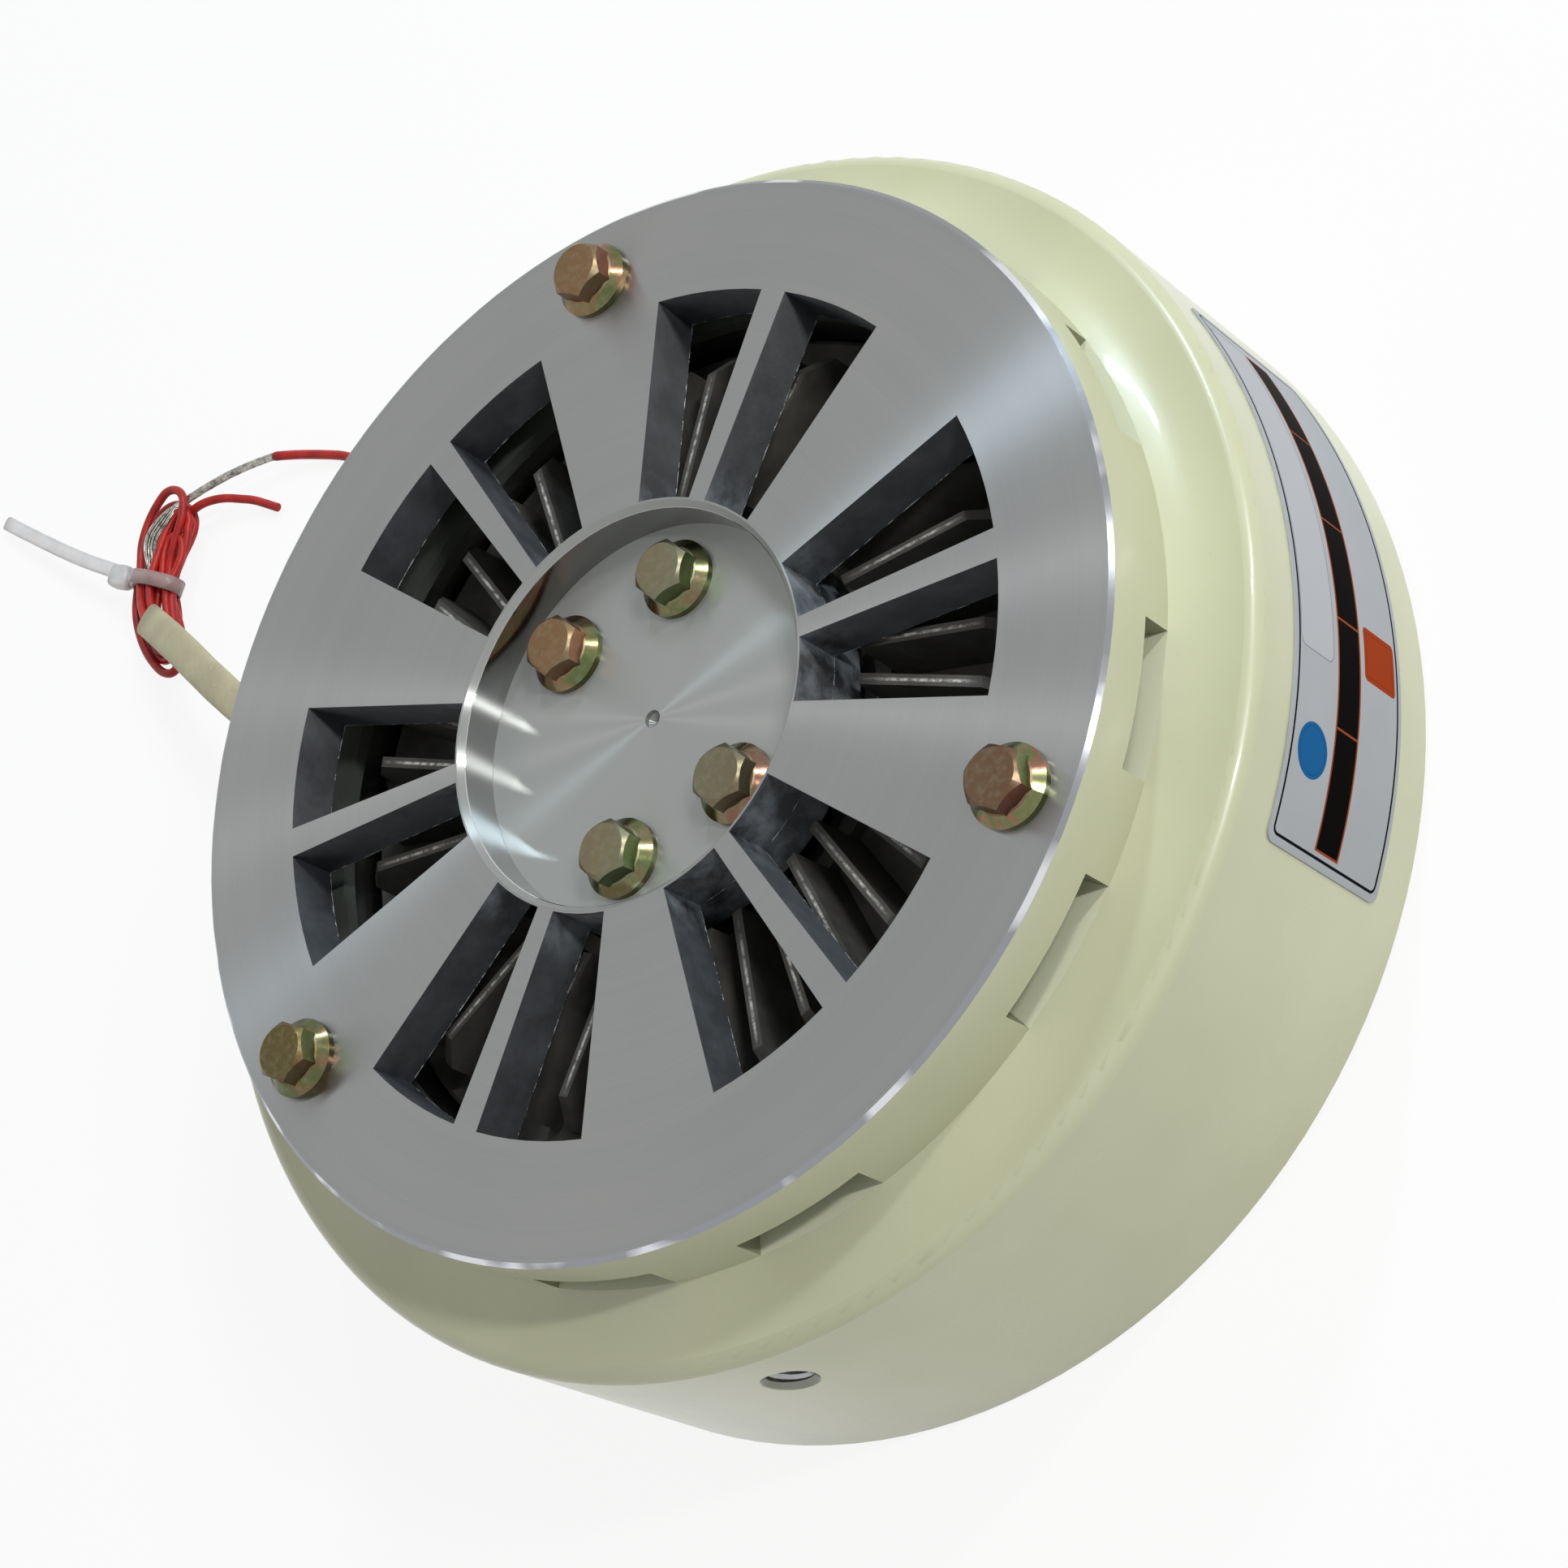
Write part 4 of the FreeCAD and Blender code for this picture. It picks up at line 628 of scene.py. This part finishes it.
def new_piece(name, corners, faces, finish, smooth=True):
    mesh = bpy.data.meshes.new(name)
    mesh.from_pydata([tuple(c) for c in corners], [], faces)
    mesh.update()
    shaped = bmesh.new()
    shaped.from_mesh(mesh)
    bmesh.ops.recalc_face_normals(shaped, faces=shaped.faces)
    for face in shaped.faces:
        face.smooth = smooth
    shaped.to_mesh(mesh)
    shaped.free()
    mesh.materials.append(finish)
    return link(bpy.data.objects.new(name, mesh))


def frames_along(places):
    """At each place: the way ahead, sideways and up."""
    frames = []
    for index, place in enumerate(places):
        ahead = (places[min(index + 1, len(places) - 1)] - places[max(index - 1, 0)]).normalized()
        side = Vector((0, 0, 1)).cross(ahead).normalized()
        frames.append((place, ahead, side, ahead.cross(side)))
    return frames


def loft(rings, closed_ends=False):
    """Corners and faces of a skin through rings that have the same number of corners."""
    count = len(rings[0])
    corners = [corner for ring in rings for corner in ring]
    faces = []
    for step in range(len(rings) - 1):
        for index in range(count):
            after = (index + 1) % count
            faces.append((step * count + index, step * count + after,
                          (step + 1) * count + after, (step + 1) * count + index))
    if closed_ends:
        faces.append(tuple(range(count)))
        faces.append(tuple(range((len(rings) - 1) * count, len(rings) * count)))
    return corners, faces


def joined(lofts):
    """The corners and faces of several lofts as one."""
    corners, faces = [], []
    for more_corners, more_faces in lofts:
        start = len(corners)
        corners += more_corners
        faces += [tuple(start + corner for corner in face) for face in more_faces]
    return corners, faces


def level_way(turn):
    """The level direction at this angle round the upright axis."""
    return Vector((math.cos(turn), math.sin(turn), 0))


def round_ring(place, side, up, radius, count):
    turns = [2 * math.pi * step / count for step in range(count)]
    return [place + (side * math.cos(turn) + up * math.sin(turn)) * radius * mm for turn in turns]


def flat_oval(place, side, up, half_width, half_height, count=28):
    """A ring somewhat squarer than an ellipse, its half sizes in millimetres."""
    roundness = 0.75
    ring = []
    for step in range(count):
        turn = 2 * math.pi * step / count
        across = math.copysign(abs(math.cos(turn)) ** roundness, math.cos(turn)) * half_width
        over = math.copysign(abs(math.sin(turn)) ** roundness, math.sin(turn)) * half_height
        ring.append(place + side * across * mm + up * over * mm)
    return ring


def make_sleeve():
    """The flattened sleeve, a slightly uneven thin tube, open at its far end."""
    waves_per_metre, wave_height = 90.0, 0.10
    places = along(sleeve_line)
    outside, bore = [], []
    for place, _, side, up in frames_along(places):
        wobble = noise.noise(place * waves_per_metre) * wave_height
        wide, high = sleeve_half[0] + wobble, sleeve_half[1] - wobble
        outside.append(flat_oval(place, side, up, wide, high))
        bore.append(flat_oval(place, side, up, wide - sleeve_skin, high - sleeve_skin))
    corners, faces = loft([bore[0]] + outside + bore[::-1])
    sleeve = new_piece("glass_sleeve", corners, faces, finishes["sleeve"])
    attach(sleeve, "frame")
    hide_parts("lead_sleeve")


def make_wire(name, points, replaced):
    wire = soft_line(name, points, wire_radius)
    dress(wire, finishes["red"])
    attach(wire, "frame")
    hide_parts(*replaced)
    length_of(along(points))


def make_bared_strands():
    """The tinned strands: two in the core and the others round them, spread flat in the bend and twisted
    beyond it, with a slug of insulation on their tip."""
    core_count, lay_count = 2, 12
    strand_radius, lay_radius, twist_length = 0.20, 0.52, 9.0
    core_spread, lay_spread, flattening, fullness = 0.25, 1.15, 0.45, 0.7
    places = along(bared_line)
    frames = frames_along(places)
    travelled = [0.0]
    for a, b in zip(places, places[1:]):
        travelled.append(travelled[-1] + (b - a).length / mm)
    strand_lofts = []
    for strand in range(lay_count + core_count):
        rings = []
        for gone, (place, _, side, up) in zip(travelled, frames):
            flat = math.sin(math.pi * min(gone / bend_length, 1.0)) ** fullness
            turn = 2 * math.pi * (max(gone - bend_length, 0.0) / twist_length + strand / lay_count)
            wide, high = lay_radius + flat * lay_spread, lay_radius * (1 - flattening * flat)
            if strand >= lay_count:
                wide, high = flat * (core_spread if strand == lay_count else -core_spread), 0.0
            middle = place + (side * math.cos(turn) * wide + up * math.sin(turn) * high) * mm
            rings.append(round_ring(middle, side, up, strand_radius, 8))
        strand_lofts.append(loft(rings, closed_ends=True))
    corners, faces = joined(strand_lofts)
    strands = new_piece("tinned_strands", corners, faces, finishes["tinned"])

    slug_start = next(index for index, place in enumerate(places) if place.x > slug_place * mm)
    slug_frames = frames[slug_start:]
    radii = [slug_radius] * len(slug_frames)
    radii[0] = radii[-1] = slug_radius - slug_bevel
    corners, faces = loft([round_ring(place, side, up, radius, 16)
                           for radius, (place, _, side, up) in zip(radii, slug_frames)], closed_ends=True)
    slug = new_piece("insulation_slug", corners, faces, finishes["red"])
    for piece, slot in ((strands, "tinned_wire"), (slug, "wire_red")):
        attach(piece, "frame")
    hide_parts("tinned_end")


def strap_course(middle, ahead, side):
    """The tight course of the strap round every wire that passes its plane: its places, as sideways and
    height, and the ways outwards."""
    wire_corners, count = 16, 64
    around = []
    for line in (first_wire_line, second_wire_line):
        places = along(line)
        for a, b in zip(places, places[1:]):
            before, after = (a - middle).dot(ahead), (b - middle).dot(ahead)
            if before * after <= 0 and before != after:
                spot = a.lerp(b, before / (before - after))
                for step in range(wire_corners):
                    turn = 2 * math.pi * step / wire_corners
                    around.append(((spot - middle).dot(side) + wire_radius * mm * math.cos(turn),
                                   spot.z + wire_radius * mm * math.sin(turn)))
    hull = [around[index] for index in convex_hull_2d(around)]
    centre = Vector([sum(corner[axis] for corner in hull) / len(hull) for axis in (0, 1)])
    turns = [2 * math.pi * step / count for step in range(count)]
    ways = [Vector((math.cos(turn), math.sin(turn))) for turn in turns]
    reaches = [max(way.dot(Vector(corner) - centre) for corner in hull) for way in ways]
    course = []
    for index, (way, reach) in enumerate(zip(ways, reaches)):
        slope = (reaches[(index + 1) % count] - reaches[index - 1]) / (4 * math.pi / count)
        course.append((centre + way * reach + Vector((-way.y, way.x)) * slope, way))
    return course


def tie_head_rings(middle, ahead, side):
    """The head, a block with well rounded edges."""
    length, depth, height = (size * mm / 2 for size in tie_head)
    steps, corners, roundness, end_power, end_girth = 12, 24, 0.55, 5, 0.02
    rings = []
    for step in range(steps + 1):
        lengthways = math.cos(math.pi * step / steps)
        girth = max(1 - abs(lengthways) ** end_power, 0.0) ** 0.5 + end_girth
        ring = []
        for corner in range(corners):
            turn = 2 * math.pi * corner / corners
            over = [math.copysign(abs(c) ** roundness, c) * girth for c in (math.cos(turn), math.sin(turn))]
            ring.append(middle + side * lengthways * length + ahead * over[0] * depth
                        + Vector((0, 0, over[1] * height)))
        rings.append(ring)
    return rings


def make_tie():
    """The nylon tie: a strap drawn tight round the wires' waist, its head and its long tail."""
    strap_gap, head_overlap, lowest = 0.05, 1.6, 0.15
    ahead = level_way(waist_heading)
    side = Vector((-ahead.y, ahead.x, 0))
    middle = waist_middle * mm
    course = strap_course(middle, ahead, side)
    rings = []
    for spot, way in course + course[:1]:
        inner, outer = spot + way * strap_gap * mm, spot + way * strap_skin * mm
        ring = []
        for point, sign in ((inner, -1), (outer, -1), (outer, 1), (inner, 1)):
            flat = middle + side * point.x + ahead * sign * strap_width / 2 * mm
            ring.append(Vector((flat.x, flat.y, max(point.y, lowest * mm))))
        rings.append(ring)
    strap = loft(rings)
    outer_edge = max(spot.x for spot, _ in course) + strap_skin * mm
    head_middle = (middle + side * (outer_edge + (tie_head[0] / 2 - head_overlap) * mm)
                   + Vector((0, 0, tie_head_lift * mm)))
    head = loft(tie_head_rings(head_middle, ahead, side), closed_ends=True)
    tail = loft([flat_oval(place, across, up, *tie_tail_half, 16)
                 for place, _, across, up in frames_along(along(tie_tail_line))], closed_ends=True)
    corners, faces = joined([strap, head, tail])
    tie = new_piece("nylon_tie", corners, faces, finishes["nylon"])
    tie.data.materials.append(finishes["strap"])
    for face in tie.data.polygons[:len(strap[1])]:
        face.material_index = 1
    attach(tie, "frame")
    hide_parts("cable_tie")


def make_lead():
    make_sleeve()
    make_wire("red_wire_long", first_wire_line, ["red_end", "lead_wires"])
    make_wire("red_wire_bared", second_wire_line, ["wire_hank"])
    make_bared_strands()
    make_tie()


# The rating label

def make_label():
    """A thin sheet with rounded corners, bent round the housing."""
    columns, glue = 96, 0.01
    middle, half_high = (label_low + label_high) / 2, (label_high - label_low) / 2
    half_long, corner = body_radius * math.radians(label_span / 2), label_corner * mm
    rings = []
    for column in range(columns + 1):
        spot = math.sin(math.pi * (column / columns - 0.5)) * half_long
        into_corner = max(abs(spot) - half_long + corner, 0.0)
        reach = half_high - corner + math.sqrt(max(corner ** 2 - into_corner ** 2, 0.0))
        out = level_way(math.radians(label_heading) + spot / body_radius)
        under, over = out * (body_radius + glue * mm), out * (body_radius + label_skin * mm)
        lift, drop = Vector((0, 0, middle + reach)), Vector((0, 0, middle - reach))
        rings.append([under + drop, over + drop, over + lift, under + lift])
    corners, faces = loft(rings, closed_ends=True)
    label = new_piece("label_sheet", corners, faces, finishes["label"], smooth=False)
    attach(label, "frame")
    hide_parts("rating_label")


# Threads of the side hole and of the four mounting holes in the rear

def make_thread(name, mouth, inward, radius, length, pitch, finish):
    """The crest of a tapped thread, one helical ridge on the wall of its hole that runs out at both ends."""
    turn_steps, run_out_steps, crest_share, sunk, least = 36, 18, 0.42, 0.02, 0.01
    across = inward.orthogonal().normalized()
    upward = inward.cross(across)
    flank = inward * crest_share * pitch * mm
    steps = int(length / pitch * turn_steps)
    rings = []
    for step in range(steps + 1):
        turn = 2 * math.pi * step / turn_steps
        out = across * math.cos(turn) + upward * math.sin(turn)
        full = min(1.0, step / run_out_steps, (steps - step) / run_out_steps)
        height = crest_share * pitch * full + least
        deep = mouth + inward * step / turn_steps * pitch * mm
        wall = deep + out * (radius + sunk) * mm
        rings.append([wall - flank, deep + out * (radius - height) * mm, wall + flank])
    corners, faces = loft(rings, closed_ends=True)
    thread = new_piece(name, corners, faces, finishes[finish], smooth=False)
    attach(thread, "frame")


def make_threads():
    """Each thread starts just inside the chamfer of its hole."""
    side_chamfer, rear_chamfer = 1.2, 0.9
    out = level_way(math.radians(side_hole_heading))
    mouth = out * (body_radius - side_chamfer * mm) + Vector((0, 0, side_hole_height * mm))
    make_thread("side_hole_thread", mouth, -out, side_hole_radius, length=6.0, pitch=1.25,
                finish="steel")
    for number in range(mount_hole_count):
        out = level_way(math.radians(mount_hole_heading + 360.0 / mount_hole_count * number))
        mouth = out * mount_hole_circle * mm + Vector((0, 0, rear_chamfer * mm))
        make_thread("mount_thread_%d" % (number + 1), mouth, Vector((0, 0, 1)), mount_hole_radius,
                    length=8.0, pitch=1.0, finish="iron")


# Stage and lights

def stage_finish():
    """A plain pale floor that reads as white and keeps a soft shadow."""
    white_share = 0.88
    finish = new_finish("pale_floor")
    paper = add(finish, "BsdfDiffuse", {"Color": "#ededeb"})
    glow = add(finish, "Emission", {"Color": "#ffffff", "Strength": 1.0})
    share = add(finish, "Math", {0: shown_rays(finish), 1: white_share}, operation="MULTIPLY")
    mixed = add(finish, "MixShader", {0: share, 1: paper, 2: glow})
    add(finish, "OutputMaterial", {"Surface": mixed})
    return finish


def shown_rays(finish):
    """1 for the rays that show the white background: the camera's, and those off metal and through nylon."""
    path = add(finish, "LightPath").node.outputs
    seen = add(finish, "Math", {0: path["Is Camera Ray"], 1: path["Is Glossy Ray"]}, operation="MAXIMUM")
    return add(finish, "Math", {0: seen, 1: path["Is Transmission Ray"]}, operation="MAXIMUM")


def lay_floor():
    """A wide floor just under the brake, so that the two never share a plane."""
    half, drop = 4.0, 0.0004
    corners = [(-half, -half, -drop), (half, -half, -drop), (half, half, -drop), (-half, half, -drop)]
    floor = new_piece("floor", corners, [(0, 1, 2, 3)], stage_finish(), smooth=False)


def light_world():
    """White where it is seen, and a dimmer even light on the brake."""
    fill_light = 0.39
    world = bpy.data.worlds.new("studio")
    bpy.context.scene.world = world
    world.use_nodes = True
    world.node_tree.nodes.clear()
    strength = add(world, "MapRange", {"Value": shown_rays(world), "To Min": fill_light, "To Max": 1.0})
    sky = add(world, "Background", {"Color": "#ffffff", "Strength": strength})
    add(world, "OutputWorld", {"Surface": sky})


def hang_lamp(name, heading, power, tint):
    """A narrow flat lamp at a heading round the brake's axis, aimed at its foot."""
    width, height, distance, rise = 0.05, 0.26, 1.3, math.radians(43.0)
    lamp = bpy.data.lights.new(name, "AREA")
    lamp.shape = "RECTANGLE"
    lamp.size, lamp.size_y = width, height
    lamp.energy = power
    lamp.color = linear(tint)[:3]
    held = link(bpy.data.objects.new(name, lamp))
    turn = math.radians(heading)
    held.location = Vector((math.cos(turn) * math.cos(rise), math.sin(turn) * math.cos(rise),
                            math.sin(rise))) * distance
    held.rotation_euler = (-held.location).to_track_quat("-Z", "Y").to_euler()


def light_scene():
    """Three lamps in a row, as over a workbench: each leaves its own ray on the turned face."""
    light_world()
    hang_lamp("lamp_near", 12.0, 5.2, "#ffffff")
    hang_lamp("lamp_middle", 46.0, 3.9, "#ffffff")
    hang_lamp("lamp_far", 87.0, 4.5, "#dcf0ff")


stand_camera()
make_lead()
make_label()
make_threads()
for finish_name, members in node_finishes.items():
    for member in members:
        dress(nodes[member], finishes[finish_name])
lay_floor()
light_scene()
bpy.context.scene.view_settings.view_transform = "Standard"
